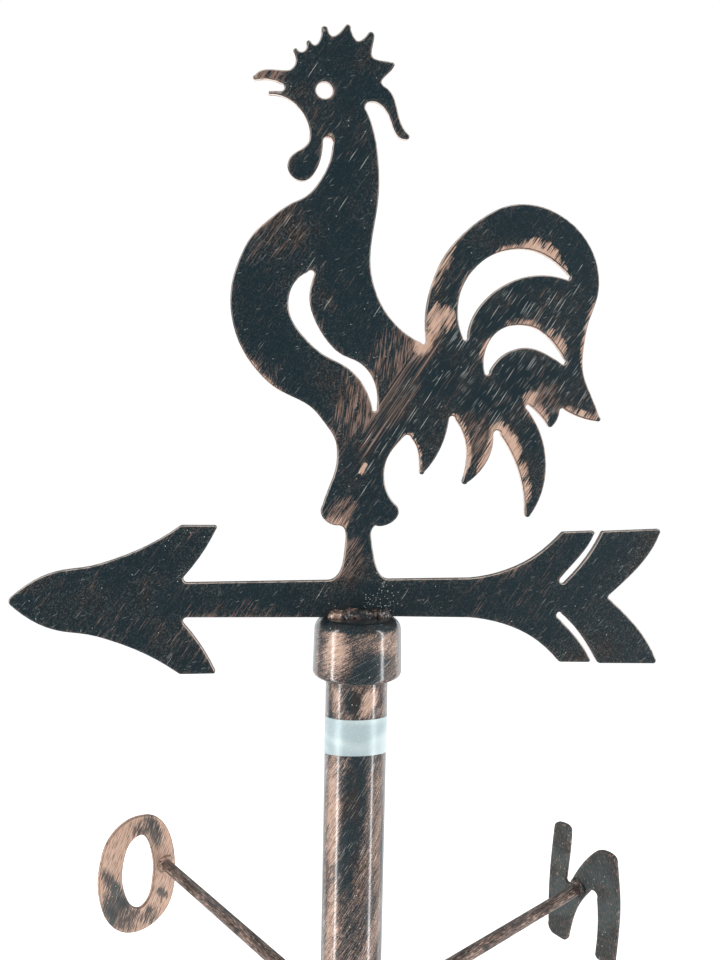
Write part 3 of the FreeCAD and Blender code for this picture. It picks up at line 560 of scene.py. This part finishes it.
class Shader:
    """One material.  Each method adds a node and returns its result.  A node's inputs are given
    by their number or name, and its result by its number."""

    def __init__(self, name):
        self.material = bpy.data.materials.new(name)
        self.material.use_nodes = True
        self.tree = self.material.node_tree
        self.surface = self.tree.nodes["Principled BSDF"]

    def node(self, kind, inputs, output=0, **settings):
        made = self.tree.nodes.new("ShaderNode" + kind)
        for name, setting in settings.items():
            setattr(made, name, setting)
        for key, given in inputs.items():
            self.feed(made.inputs[key], given)
        return made.outputs[output]

    def feed(self, socket, given):
        if isinstance(given, bpy.types.NodeSocket):
            self.tree.links.new(given, socket)
        else:
            socket.default_value = given

    def math(self, operation, first, second=0.0):
        return self.node("Math", {0: first, 1: second}, operation=operation)

    def times(self, first, second):
        return self.math("MULTIPLY", first, second)

    def sum(self, *parts):
        """The sum of results, each given as (result, weight)."""
        total = 0.0
        for result, weight in parts:
            total = self.node("Math", {0: result, 1: weight, 2: total}, operation="MULTIPLY_ADD")
        return total

    def fade(self, given, start, stop, low=0.0, high=1.0):
        """Goes smoothly from low to high as given goes from start to stop."""
        return self.node("MapRange", {0: given, 1: start, 2: stop, 3: low, 4: high},
                         interpolation_type="SMOOTHSTEP")

    def blend(self, share, first, second):
        return self.node("Mix", {0: share, 6: first, 7: second}, output=2, data_type="RGBA")

    def choose(self, share, first, second):
        return self.node("Mix", {0: share, 2: first, 3: second}, output=0)

    def length(self, vector):
        return self.node("VectorMath", {0: vector}, output=1, operation="LENGTH")

    def facing_up(self):
        """The upward part of the surface's normal, from -1 to 1."""
        return self.split(self.node("NewGeometry", {}, output=1))[2]

    def attribute(self, name):
        return self.node("Attribute", {}, output=2, attribute_name=name)

    def vector(self, x, y, z):
        return self.node("CombineXYZ", {0: x, 1: y, 2: z})

    def millimetres(self, origin=(0, 0, 0)):
        """The point's place in the row frame, in millimetres from an origin given in metres."""
        here = self.node("TexCoord", {}, output=3)
        moved = self.node("VectorMath", {0: here, 1: origin}, operation="SUBTRACT")
        return self.node("VectorMath", {0: moved, 3: 1000.0}, operation="SCALE")

    def split(self, vector):
        parts = self.tree.nodes.new("ShaderNodeSeparateXYZ")
        self.feed(parts.inputs[0], vector)
        return parts.outputs[0], parts.outputs[1], parts.outputs[2]

    def grain(self, place, size, angle=0.0, detail=2.0, shift=(0, 0, 0)):
        """Noise with marks of this size in millimetres, turned by angle in the first plane."""
        turned = self.node("Mapping", {0: place, 1: shift, 2: (0, 0, math.radians(angle)), 3: size},
                           vector_type="TEXTURE")
        return self.node("TexNoise", {"Vector": turned, "Scale": 1.0, "Detail": detail}, output=0)

    def patch(self, place, centre, size, angle=0.0):
        """1 at the middle of an ellipse, falling to 0 at its rim."""
        turned = self.node("Mapping", {0: place, 1: (*centre, 0), 2: (0, 0, math.radians(angle)),
                                       3: (*size, ANY_DEPTH)}, vector_type="TEXTURE")
        return self.fade(self.length(turned), 1.0, 0.35)

    def patches(self, place, places):
        """Adds up patches, each given as (across, up, length, width, angle, strength)."""
        parts = []
        for across, up, length, width, angle, strength in places:
            parts.append((self.patch(place, (across, up), (length, width), angle), strength))
        return self.sum(*parts)

    def dashes(self, place, size, angle, share, reach=0.5):
        """Small marks of this size in millimetres, in a share of the cells of a jittered grid."""
        turned = self.node("Mapping", {0: place, 2: (0, 0, math.radians(angle)), 3: size},
                           vector_type="TEXTURE")
        cells = self.tree.nodes.new("ShaderNodeTexVoronoi")
        cells.inputs["Scale"].default_value = 1.0
        self.feed(cells.inputs["Vector"], turned)
        pick = self.split(cells.outputs["Color"])[0]
        chosen = self.math("GREATER_THAN", pick, self.math("SUBTRACT", 1.0, share))
        dot = self.fade(cells.outputs["Distance"], reach, 0.55 * reach)
        return self.times(chosen, dot)

    def bump(self, height, strength):
        return self.node("Bump", {"Strength": strength, "Distance": BUMP_DEPTH, "Height": height})

    def finish(self, **inputs):
        for name, given in inputs.items():
            self.feed(self.surface.inputs[name.replace("_", " ")], given)
        return self.material


# ---------------------------------------------------------------------- paint
BLUE_BLACK = colour(18, 36, 43)
BROWN_BLACK = colour(38, 33, 32)
DUSTY = colour(96, 102, 100)
DULL_COPPER = colour(138, 112, 100)
COPPER = colour(190, 152, 131)
PALE_COPPER = colour(206, 177, 159)
# Light worn-edge colour, also painted on the sheet's edges as highlight and reflection.
WORN_EDGE_AND_HIGHLIGHT = colour(228, 210, 198)
SPECK = colour(214, 214, 206)
LETTER_GREY = colour(58, 71, 72)
ROD_GREY = colour(64, 62, 62)
WELD_GREY = colour(38, 44, 46)
FOIL_SHADE = colour(172, 189, 192)
FOIL = colour(202, 215, 216)
FOIL_FIBRE = colour(216, 226, 226)


def paint(shader, place, copper, brown, tone, fine, marks, rough=0.40, coat=0.0, dark=BLUE_BLACK,
          specular=0.25, wear_and_highlight=0.0, dusty=0.3):
    """Dark paint with brown strokes, bare copper, worn edges that also carry painted highlights, and small
    light marks over it.
    """
    grit = shader.grain(place, (0.9, 0.55, 0.8), 50, detail=3.0, shift=(31, 7, 3))
    under = shader.blend(tone, dark, BROWN_BLACK)
    under = shader.blend(shader.times(shader.fade(grit, 0.48, 0.72), dusty), under, DUSTY)
    stroked = shader.blend(brown, under, DULL_COPPER)
    metal = shader.blend(shader.fade(fine, 0.40, 0.64), COPPER, PALE_COPPER)
    metal = shader.blend(shader.fade(fine, 0.42, 0.30, 0.0, 0.55), metal, DULL_COPPER)
    brushed = shader.blend(copper, stroked, metal)
    # Worn edges, and on the sheet also painted highlights and reflections along its edges.
    edged = shader.blend(wear_and_highlight, brushed, WORN_EDGE_AND_HIGHLIGHT)
    shown = shader.blend(marks, edged, SPECK)
    height = shader.sum((fine, 0.5), (copper, 0.3), (grit, 0.35), (marks, 0.5))
    roughness = shader.sum((grit, 0.22), (copper, 0.06), (rough - 0.11, 1.0))
    return shader.finish(Base_Color=shown, Roughness=roughness, Metallic=shader.times(copper, 0.2),
                         Specular_IOR_Level=specular, Coat_Weight=coat, Coat_Roughness=0.15,
                         Normal=shader.bump(height, 0.4))


BRUSH_ANGLE = 57
UPRIGHT_ANGLE = 84
SCRATCH_ANGLE = 58


def sheet_material():
    """Paint on the sheet: bare copper along its edges, brush strokes, hairlines and dust, with painted shade
    and highlights on the rounded edges and painted glints on weld spatter.
    """
    shader = Shader("sheet_paint")
    x, y, z = shader.split(shader.millimetres((0, 0, CAP_TOP)))
    place = shader.vector(x, z, shader.times(y, 9.0))
    rim = shader.attribute("rim")
    bare = shader.attribute("bare")
    strokes = shader.attribute("strokes")
    scratched = shader.attribute("scratched")
    slanted = shader.grain(place, (8, 0.36, 4), BRUSH_ANGLE, detail=3.0)
    upright = shader.grain(place, (10, 0.40, 4), UPRIGHT_ANGLE, detail=3.0, shift=(3, 9, 1))
    lines = shader.grain(place, (60, 0.65, 6), BRUSH_ANGLE, detail=2.0, shift=(5, 2, 7))
    fine = shader.choose(shader.attribute("upright"), slanted, upright)
    fine = shader.choose(shader.patch(place, (20, 120), (66, 11), SCRATCH_ANGLE), fine, lines)
    broad = shader.grain(place, (22, 3.0, 6), BRUSH_ANGLE, detail=2.0, shift=(11, 5, 2))
    cloud = shader.grain(place, (30, 30, 30), detail=2.0, shift=(2, 17, 4))
    ragged = shader.grain(place, (14, 0.45, 5), SCRATCH_ANGLE, detail=2.0, shift=(7, 2, 9))
    ragged = shader.times(shader.fade(ragged, 0.36, 0.64, -3.6, 3.2), shader.fade(bare, 0.0, 2.5))
    past = shader.sum((bare, 1.0), (rim, -1.0), (ragged, 1.0))
    under_side = shader.fade(shader.facing_up(), 0.35, -0.35)
    ridge = shader.times(shader.fade(rim, 0.08, 0.22), shader.fade(rim, 0.85, 0.55))
    # Painted shade: on down-facing edges the rounded ridge loses its copper and stays dark, as if under-lit.
    painted_ridge_shade = shader.times(ridge, under_side)
    copper = shader.times(shader.fade(past, -0.1, 0.3), shader.fade(painted_ridge_shade, 0.0, 0.8, 1.0, 0.1))
    value = shader.sum((fine, 0.75), (broad, 0.25), (strokes, 0.20), (scratched, 0.02),
                       (shader.fade(past, -3.0, 0.0), 0.08))
    brown = shader.times(shader.fade(value, 0.60, 0.72), shader.fade(strokes, 0.05, 0.35, 0.55, 0.9))
    # Down-facing walls get the light worn-edge colour: partly worn copper, partly a painted reflection of
    # the white surroundings.
    wall = shader.times(shader.fade(rim, 0.14, 0.03), shader.fade(under_side, 0.0, 1.0, 0.12, 0.95))
    wall = shader.times(wall, shader.fade(shader.math("ABSOLUTE", y), 0.90, 0.65, 0.05, 1.0))
    # Painted highlight: up-facing ridges get the light worn-edge colour, as the light they catch.
    painted_ridge_highlight = shader.times(ridge, shader.fade(under_side, 0.9, 0.2, 0.0, 0.6))
    wear_and_highlight = shader.math("ADD", wall, painted_ridge_highlight)
    wear_and_highlight = shader.times(wear_and_highlight, shader.fade(broad, 0.36, 0.52, 0.5, 1.0))
    scratch_share = shader.sum((scratched, 0.05), (0.0015, 1.0))
    scratches = shader.dashes(place, (12, 0.22, 3.0), SCRATCH_ANGLE, scratch_share)
    hairs = shader.dashes(place, (6, 0.2, 3.0), 51, shader.sum((scratched, 0.06), (0.004, 1.0)))
    nicks = shader.dashes(place, (3.2, 0.22, 3.0), 20, 0.006)
    # Painted glints: white specks round the right end of the weld bead stand for the glints of weld spatter,
    # over the sparse dust elsewhere.
    spatter_glint_patch = shader.patch(place, (12, 8), (15, 12))
    dust = shader.dashes(place, (0.8, 0.8, 3.0), 0, shader.sum((spatter_glint_patch, 0.24), (0.005, 1.0)), 0.33)
    marks = shader.math("MAXIMUM", shader.times(scratches, 0.9), dust)
    marks = shader.math("MAXIMUM", marks, shader.times(hairs, 0.45))
    marks = shader.math("MAXIMUM", marks, shader.times(nicks, 0.4))
    tone = shader.fade(shader.sum((cloud, 0.5), (fine, 0.5), (strokes, 0.16)), 0.49, 0.66, 0.0, 0.9)
    dusty = shader.sum((shader.fade(cloud, 0.46, 0.60), 0.30), (shader.fade(rim, 7.0, 1.0), 0.2),
                       (strokes, 0.4), (scratched, -0.18), (0.18, 1.0))
    return paint(shader, place, copper, brown, tone, fine, marks, wear_and_highlight=wear_and_highlight, dusty=dusty)


def pipe_material(name, radius, slope, size, places, edges=(), dark_top=False):
    """Paint on a pipe, with strokes of this width and length that climb round it at slope degrees.
    The edges are heights from the cap's top, in millimetres, where the paint has worn off a rim."""
    shader = Shader(name)
    here = shader.millimetres((0, 0, CAP_TOP))
    x, y, z = shader.split(here)
    angle = shader.times(z, -MM / (radius * math.tan(math.radians(slope))))
    wound = shader.node("VectorRotate", {0: here, 3: angle}, rotation_type="Z_AXIS")
    fine = shader.grain(wound, (size[0], size[0], size[1]), detail=2.0)
    broad = shader.grain(wound, (8 * size[0], 8 * size[0], 3.4 * size[1]), detail=3.0, shift=(3, 5, 40))
    flecks = shader.grain(here, (0.7, 0.7, 0.7), detail=2.0, shift=(6, 1, 5))
    cloud = shader.grain(here, (11, 11, 30), detail=3.0)
    turn = shader.math("ARCTAN2", x, shader.times(y, -1.0))
    around = shader.times(turn, radius / MM)
    bare = shader.patches(shader.vector(around, z, 0.0), places)
    value = shader.sum((fine, 0.45), (broad, 0.15), (flecks, 0.25), (cloud, 0.15), (bare, 1.0))
    if dark_top:
        value = shader.sum((value, 1.0), (shader.fade(shader.facing_up(), 0.3, 0.7), -0.35))
    copper = shader.fade(value, 0.55, 0.62)
    brown = shader.fade(value, 0.46, 0.57, 0.0, 0.85)
    scratches = shader.dashes(wound, (0.24, 0.24, 6), 0, 0.07)
    dust = shader.dashes(here, (1.1, 1.1, 1.1), 0, 0.012, 0.3)
    marks = shader.math("MAXIMUM", shader.times(scratches, 0.5), dust)
    tone = shader.fade(cloud, 0.44, 0.60)
    worn = []
    for edge in edges:
        gap = shader.math("ABSOLUTE", shader.math("SUBTRACT", z, edge))
        worn.append((shader.fade(gap, 0.9, 0.3), 1.0))
    outward = shader.length(shader.vector(x, y, 0.0))
    outermost = shader.fade(outward, radius / MM - 1.0, radius / MM - 0.4)
    wear_and_highlight = shader.times(shader.sum(*worn), outermost)
    wear_and_highlight = shader.times(wear_and_highlight, shader.fade(broad, 0.38, 0.55, 0.1, 0.75))
    return paint(shader, here, copper, brown, tone, fine, marks, rough=0.36, coat=1.0, wear_and_highlight=wear_and_highlight)


def base_material():
    """Paint on the base plate, with strokes at two angles and worn edges."""
    shader = Shader("base_paint")
    place = shader.millimetres((0, 0, BASE_TOP))
    rim = shader.attribute("rim")
    fine = shader.grain(place, (14, 0.6, 2), 38, detail=2.0)
    crossing = shader.grain(place, (11, 0.6, 2), -52, detail=2.0, shift=(4, 4, 9))
    broad = shader.grain(place, (40, 6, 6), 38, detail=2.0, shift=(7, 1, 2))
    cloud = shader.grain(place, (36, 36, 36), detail=2.0)
    fine = shader.choose(shader.fade(cloud, 0.44, 0.56), fine, crossing)
    worn = shader.fade(rim, 7.0, 0.2)
    value = shader.sum((fine, 0.55), (broad, 0.45), (worn, 0.08), (-0.03, 1.0))
    copper = shader.fade(value, 0.56, 0.62)
    brown = shader.fade(value, 0.48, 0.58, 0.0, 0.8)
    wear_and_highlight = shader.times(shader.fade(rim, 0.6, 0.2), shader.fade(broad, 0.40, 0.56, 0.1, 0.8))
    dust = shader.dashes(place, (1.2, 1.2, 1.2), 0, 0.02, 0.3)
    tone = shader.fade(cloud, 0.44, 0.60)
    return paint(shader, place, copper, brown, tone, fine, dust, coat=0.4, wear_and_highlight=wear_and_highlight)


def compass_place(shader):
    """Across, along and up for whichever compass arm is near, in millimetres from the hub."""
    north = arm("north")
    here = shader.millimetres((0, 0, HUB))
    turned = shader.node("VectorRotate", {0: here, 3: -math.atan2(north.y, north.x)}, rotation_type="Z_AXIS")
    x, y, z = shader.split(turned)
    on_north = shader.math("GREATER_THAN", shader.math("ABSOLUTE", x), shader.math("ABSOLUTE", y))
    return shader.choose(on_north, x, y), shader.choose(on_north, y, x), z


def rod_material():
    """Paint on the compass rods, with strokes along them."""
    shader = Shader("rod_paint")
    across, along, up = compass_place(shader)
    place = shader.vector(along, across, up)
    fine = shader.grain(place, (5, 0.5, 0.5), detail=3.0)
    broad = shader.grain(place, (16, 2.0, 2.0), detail=2.0, shift=(9, 3, 1))
    cloud = shader.grain(place, (30, 9, 9), detail=2.0)
    value = shader.sum((fine, 0.7), (broad, 0.3))
    copper = shader.fade(value, 0.56, 0.64)
    brown = shader.fade(value, 0.42, 0.56, 0.0, 0.8)
    dust = shader.dashes(place, (1.0, 1.0, 1.0), 0, 0.06, 0.32)
    tone = shader.fade(cloud, 0.35, 0.5)
    return paint(shader, place, copper, brown, tone, fine, dust, coat=0.5, dark=ROD_GREY, specular=0.4)


def weld_material():
    """Paint over a rough bead: brown and dark lumps, brighter where the brush caught it."""
    shader = Shader("weld_paint")
    here = shader.millimetres((0, 0, CAP_TOP))
    fine = shader.grain(here, (1.8, 1.8, 0.5), detail=3.0)
    broad = shader.grain(here, (6.0, 6.0, 2.2), detail=2.0, shift=(4, 8, 2))
    caught = shader.fade(shader.split(here)[0], -5.0, -12.0, -0.05, 0.12)
    value = shader.sum((fine, 0.55), (broad, 0.45), (caught, 1.0))
    copper = shader.fade(value, 0.56, 0.64)
    brown = shader.fade(value, 0.44, 0.57, 0.0, 0.8)
    dust = shader.dashes(here, (1.0, 1.0, 1.0), 0, 0.09, 0.34)
    tone = shader.fade(broad, 0.42, 0.56)
    return paint(shader, here, copper, brown, tone, fine, dust, rough=0.34, coat=0.5, dark=WELD_GREY,
                 specular=0.4)


def letter_material(name, cover, slope, streaky):
    """Paint on a letter plate, where cover is the copper's share and streaky is 1 for long strokes."""
    shader = Shader(name)
    across, along, up = compass_place(shader)
    place = shader.vector(across, up, along)
    rim = shader.attribute("rim")
    fine = shader.grain(place, (2 + 7 * streaky, 0.6, 3), slope, detail=2.0)
    broad = shader.grain(place, (5 + 11 * streaky, 2.2, 3), slope, detail=2.0, shift=(8, 1, 2))
    cloud = shader.grain(place, (22, 22, 22), detail=2.0)
    bare = shader.attribute("bare")
    worn = shader.fade(rim, 3.0, 0.6)
    value = shader.sum((fine, 0.8), (broad, 0.2), (bare, 1.0), (worn, 0.05), (cover, 1.0))
    copper = shader.fade(value, 0.55, 0.59)
    brown = shader.fade(value, 0.36, 0.56, 0.0, 0.6)
    outline = shader.times(shader.fade(rim, 0.05, 0.2), shader.fade(rim, 0.9, 0.5))
    copper = shader.times(copper, shader.fade(outline, 0.0, 1.0, 1.0, 0.35))
    dust = shader.dashes(place, (1.2, 1.2, 1.2), 0, 0.03, 0.3)
    tone = shader.fade(cloud, 0.42, 0.58, 0.0, 0.6)
    return paint(shader, place, copper, brown, tone, fine, dust, rough=0.42, dark=LETTER_GREY, dusty=0.45)


# ---------------------------------------------------------------------- bare metal and foil
def turned_steel(name, tint, rough, spacing):
    """Machined or plated steel with fine rings round the mast's axis."""
    shader = Shader(name)
    place = shader.millimetres()
    rings = shader.grain(place, (60, 60, spacing), detail=2.0)
    blotch = shader.grain(place, (3, 3, 3), detail=3.0)
    darker = tuple(level * 0.6 for level in tint[:3]) + (1.0,)
    base = shader.blend(shader.fade(blotch, 0.35, 0.7), darker, tint)
    roughness = shader.sum((rings, 0.2), (blotch, 0.1), (rough - 0.15, 1.0))
    height = shader.sum((rings, 0.7), (blotch, 0.3))
    return shader.finish(Base_Color=base, Metallic=1.0, Roughness=roughness, Normal=shader.bump(height, 0.2))


def label_material():
    """Slightly creased silvery foil, with a painted sheen in broad soft patches."""
    shader = Shader("label_foil")
    place = shader.millimetres((0, 0, CAP_TOP))
    creases_and_sheen = shader.grain(place, (30, 30, 12), 35, detail=1.0)
    fibre = shader.grain(place, (1.2, 1.2, 0.5), detail=3.0)
    # Painted sheen: the foil's colour goes lighter and darker in broad soft diagonal patches, as its
    # reflections do.
    base = shader.blend(shader.fade(creases_and_sheen, 0.38, 0.62), FOIL_SHADE, FOIL)
    base = shader.blend(shader.fade(fibre, 0.55, 0.8), base, FOIL_FIBRE)
    height = shader.sum((creases_and_sheen, 1.0), (fibre, 0.15))
    return shader.finish(Base_Color=base, Roughness=shader.sum((fibre, 0.2), (0.3, 1.0)), Metallic=0.15,
                         Normal=shader.bump(height, 0.25))


# ---------------------------------------------------------------------- assembly
def paint_node(piece, material):
    """Gives the material to every slot of a piece."""
    if not piece.material_slots:
        piece.data.materials.append(material)
    for slot in piece.material_slots:
        slot.material = material


# Each place is (across, up, half length, half width, angle, strength), in millimetres and
# degrees.  Up counts from the cap's top on the sheet and the pipes, and from the rods on a
# letter.  The strength of a bare place on the sheet is how far copper reaches in from the edge.
# Elsewhere a place above 0 has more copper and one below 0 has less.
SHEET_BARE = [
    (42, 161, 13, 9, 84, 9), (32, 147, 9, 6, 60, 7), (44, 187, 24, 7, 72, 2.2), (53, 182, 16, 5, 68, 1.0),
    (97, 203, 14, 9, -14, 6), (78, 203, 22, 6, 6, 1.2), (107, 195, 9, 6, -50, 2),
    (88, 163, 22, 6, -4, 1.6), (108, 153, 11, 6, -56, 4), (66, 146, 11, 5, 70, 1.6),
    (124, 160, 34, 7, 84, 1.2), (94, 123, 9, 7, 55, 5), (100, 113, 9, 7, 80, 2.4),
    (122, 114, 16, 6, -12, 1.8), (80, 97, 16, 11, -60, 6), (88, 82, 28, 9, -67, 2.8),
    (55, 96, 22, 7, -78, 2.8), (68, 88, 13, 6, 70, 2.4), (29, 90, 14, 6, -68, 1.4),
    (1, 80, 5.6, 1.9, 70, 26), (-11, 54, 12, 8, 48, 3), (-54, 130, 22, 8, -46, 0.9),
    (-17, 256, 8, 6, 55, 1.2), (-54, 203, 10, 6, 38, 0.8), (22, 92, 22, 6, 60, 1.0),
]
SHEET_STROKES = [
    (-5, 114, 30, 16, 88, 0.62), (14, 142, 24, 14, 80, 0.55), (20, 120, 62, 13, 58, 0.40),
    (-11, 56, 16, 10, 48, 0.7), (-54, 130, 24, 12, -46, 0.3), (31, 150, 14, 12, 60, 0.5),
    (62, 96, 24, 13, -74, 0.5), (82, 92, 26, 12, -64, 0.35), (100, 119, 18, 12, 50, 0.5),
    (-52, 284, 16, 10, 6, 0.36), (-28, 266, 26, 20, 40, 0.12), (-46, 203, 34, 18, 50, 0.3),
    (-20, 160, 30, 12, -60, 0.2), (-5, 31, 18, 12, 80, 0.6), (-90, -12, 34, 14, -35, 0.25),
    (-60, 3, 50, 10, 0, 0.2), (-126, -4, 20, 14, 20, 0.2), (-22, 90, 20, 14, 60, 0.35),
    (90, 10, 50, 24, 0, 0.15), (88, 28, 16, 8, 30, 0.3),
]
SHEET_UPRIGHT = [(-5, 116, 30, 19, 90, 1.2), (14, 142, 26, 18, 80, 1.2), (-30, 140, 34, 28, 40, 1.0)]
SHEET_SCRATCHED = [(84, 140, 78, 66, 20, 1.0), (10, 92, 44, 22, 70, 0.7), (-20, 235, 40, 26, 60, 0.3)]
MAST_PLACES = [
    (-14, -44, 12, 4, 90, 0.06), (-4, -42, 8, 6, 90, -0.14), (5, -42, 11, 6, 62, 0.12),
    (-15, -104, 52, 6, 90, 0.10), (-3, -104, 60, 8, 86, -0.10), (13, -110, 60, 4, 90, 0.03),
    # The places 26 mm left and 21 mm right of the front, over the whole height, are painted shade: less
    # copper where the mast's sides turn away, as seen from the front.
    (-15, -170, 40, 6, 86, 0.09), (10, -175, 32, 7, 70, 0.06), (-26, -130, 140, 4, 90, -0.12),
    (21, -130, 140, 4, 90, -0.12),
]
CAP_PLACES = [
    (-17, -15, 18, 10, 80, 0.13), (14, -11, 13, 9, 20, 0.07), (3, -24, 17, 9, 40, -0.14),
    # The places 37 mm left and 31 mm right of the front are painted shade: less copper where the cap's sides
    # turn away, as seen from the front.
    (20, -20, 14, 6, 90, 0.02), (-2, -9, 14, 5, 25, 0.03), (-37, -16, 24, 7, 90, -0.12),
    (31, -18, 24, 6, 90, -0.10),
]
LETTER_BARE = {
    "west": [(10, 30, 22, 8, 68, -0.19), (20, 28, 18, 7, 68, -0.15), (40, -6, 28, 6, 62, -0.21),
             (32, -28, 22, 17, 70, -0.16), (2, -22, 9, 4, 50, -0.17), (12, -36, 12, 9, 74, -0.14),
             (45, -20, 20, 8, 80, -0.18)],
    "north": [(18, 10, 16, 6, 80, 0.04)],
    "south": [(-10, -22, 22, 9, 62, -0.22), (14, 26, 20, 8, 58, -0.20), (-4, 6, 16, 7, 60, -0.16),
              (24, -34, 14, 7, 66, -0.18)],
    "east": [(20, 30, 28, 9, 74, -0.22), (-16, -24, 22, 8, 70, -0.20), (14, -34, 18, 7, 72, -0.18),
             (-12, 34, 14, 7, 70, -0.12), (6, 2, 14, 6, 74, -0.16)],
}
sheet = rounded_plate("rooster_arrow_sheet", "vane", Vector((1, 0, 0)), UP, CAP_TOP,
                      {"bare": SHEET_BARE, "strokes": SHEET_STROKES, "upright": SHEET_UPRIGHT,
                       "scratched": SHEET_SCRATCHED})
letters = {}
for name, places in LETTER_BARE.items():
    letters[name] = rounded_plate(LETTERS[name], "compass", UP.cross(arm(name)), UP, HUB,
                                  {"bare": places})
base = rounded_plate("base_plate", "mast", Vector((1, 0, 0)), Vector((0, 1, 0)), 0.0, {})
welds = make_welds()
collar = make_collar()
label = make_label()
for node in ("clamp_screw_1", "clamp_screw_2"):
    soften(node)

finishes = {
    "sheet_paint": sheet_material(),
    "rod_paint": rod_material(),
    "label_foil": label_material(),
    "bearing_steel": turned_steel("bearing_steel", colour(206, 206, 208), 0.14, 0.2),
    "cage_steel": turned_steel("cage_steel", colour(182, 176, 166), 0.34, 0.4),
    "bare_steel": turned_steel("bare_steel", colour(170, 172, 175), 0.36, 0.3),
    "zinc_steel": turned_steel("zinc_steel", colour(176, 178, 180), 0.42, 0.6),
}
mast_finish = pipe_material("mast_paint", MAST_RADIUS, 58, (0.34, 5), MAST_PLACES)
cap_rim = (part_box("rain_cap")[0].z - CAP_TOP) / MM
cap_finish = pipe_material("cap_paint", CAP_RADIUS, 28, (0.34, 1.9), CAP_PLACES, edges=[cap_rim],
                           dark_top=True)
collar_rims = [(corner.z - CAP_TOP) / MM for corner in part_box("compass_collar")]
collar_finish = pipe_material("collar_paint", COLLAR_RADIUS, 52, (0.34, 4), [], edges=collar_rims)
letter_finishes = {
    "west": letter_material("west_paint", 0.14, 68, 0.8),
    "north": letter_material("north_paint", -0.13, 80, 0.1),
    "south": letter_material("south_paint", 0.13, 60, 0.8),
    "east": letter_material("east_paint", 0.11, 74, 0.8),
}

record_slots = {part["node"]: part["material_slot"] for part in frame["record"]["subparts"]}
for node, piece in frame["nodes"].items():
    paint_node(piece, finishes.get(record_slots[node], mast_finish))
paint_node(frame["nodes"]["rain_cap"], cap_finish)
paint_node(collar, collar_finish)
paint_node(label, finishes["label_foil"])
paint_node(sheet, finishes["sheet_paint"])
paint_node(base, base_material())
for name, piece in letters.items():
    paint_node(piece, letter_finishes[name])
weld_finish = weld_material()
for piece in welds:
    paint_node(piece, weld_finish)


# ---------------------------------------------------------------------- studio
DOME_RADIUS = 9.0
FLOOR_RADIUS = 8.9
GLOW = (0.985, 0.995, 1.0, 1.0)
LAMP_LENGTH = 2.8
LAMP_LEVEL = 0.3
# Each is (name, degrees from +X, distance and width in metres, watts).
LAMPS = [
    ("left_strip", -163, 1.2, 0.16, 17),
    ("right_strip", -30, 1.2, 0.15, 16),
    ("back_left", 120, 1.6, 1.2, 9),
    ("back_right", 40, 1.6, 1.2, 9),
]
CAMERA_PLACE = (-0.06095, -0.4311, 0.6171)
CAMERA_LENS = 30.33
CAMERA_SENSOR = 36
CAMERA_HEADING = -8.0
CAMERA_DIP = 2.99
CAMERA_ROLL = 1.16


def dome_material():
    """An even white behind the object."""
    shader = Shader("dome_white")
    return shader.finish(Base_Color=(0, 0, 0, 1), Roughness=0.9, Specular_IOR_Level=0.0,
                         Emission_Color=GLOW, Emission_Strength=1.03)


def floor_material():
    """White all over, with less glow near the base, so that its soft shadow shows."""
    shader = Shader("floor_white")
    away = shader.length(shader.millimetres())
    glow = shader.fade(away, 90, 420, 0.42, 0.78)
    return shader.finish(Base_Color=(0.85, 0.86, 0.87, 1.0), Roughness=0.9, Specular_IOR_Level=0.0,
                         Emission_Color=GLOW, Emission_Strength=glow)


def studio():
    world = bpy.data.worlds.new("studio")
    world.use_nodes = True
    background = world.node_tree.nodes["Background"]
    background.inputs["Color"].default_value = (0.94, 0.98, 1.0, 1.0)
    background.inputs["Strength"].default_value = 0.30
    bpy.context.scene.world = world

    bpy.ops.mesh.primitive_uv_sphere_add(segments=48, ring_count=24, radius=DOME_RADIUS)
    dome = bpy.context.object
    dome.name = "studio_dome"
    dome.data.materials.append(dome_material())
    dome.visible_diffuse = False
    dome.visible_glossy = False
    dome.visible_transmission = False
    dome.visible_shadow = False

    bpy.ops.mesh.primitive_circle_add(vertices=96, radius=FLOOR_RADIUS, fill_type="NGON")
    floor = bpy.context.object
    floor.name = "studio_floor"
    floor.visible_glossy = False
    floor.visible_shadow = False
    floor.data.materials.append(floor_material())


def strip_light(name, azimuth, distance, width, power):
    """A tall soft light that faces the mast."""
    data = bpy.data.lights.new(name, "AREA")
    data.shape = "RECTANGLE"
    data.size = width
    data.size_y = LAMP_LENGTH
    data.energy = power
    lamp = bpy.data.objects.new(name, data)
    bpy.context.scene.collection.objects.link(lamp)
    way = Vector((math.cos(math.radians(azimuth)), math.sin(math.radians(azimuth)), 0))
    lamp.location = way * distance + UP * LAMP_LEVEL
    lamp.rotation_euler = (-way).to_track_quat("-Z", "Y").to_euler()
    lamp.visible_camera = False


def camera():
    data = bpy.data.cameras.new("camera")
    data.lens = CAMERA_LENS
    data.sensor_width = CAMERA_SENSOR
    data.clip_start = 0.01
    made = bpy.data.objects.new("camera", data)
    bpy.context.scene.collection.objects.link(made)
    turn = Matrix.Rotation(math.radians(CAMERA_HEADING), 4, "Z")
    pitch = Matrix.Rotation(math.radians(90 - CAMERA_DIP), 4, "X")
    roll = Matrix.Rotation(math.radians(CAMERA_ROLL), 4, "Z")
    made.matrix_world = Matrix.Translation(CAMERA_PLACE) @ turn @ pitch @ roll
    bpy.context.scene.camera = made


studio()
for lamp in LAMPS:
    strip_light(*lamp)
camera()
bpy.context.scene.view_settings.view_transform = "Standard"
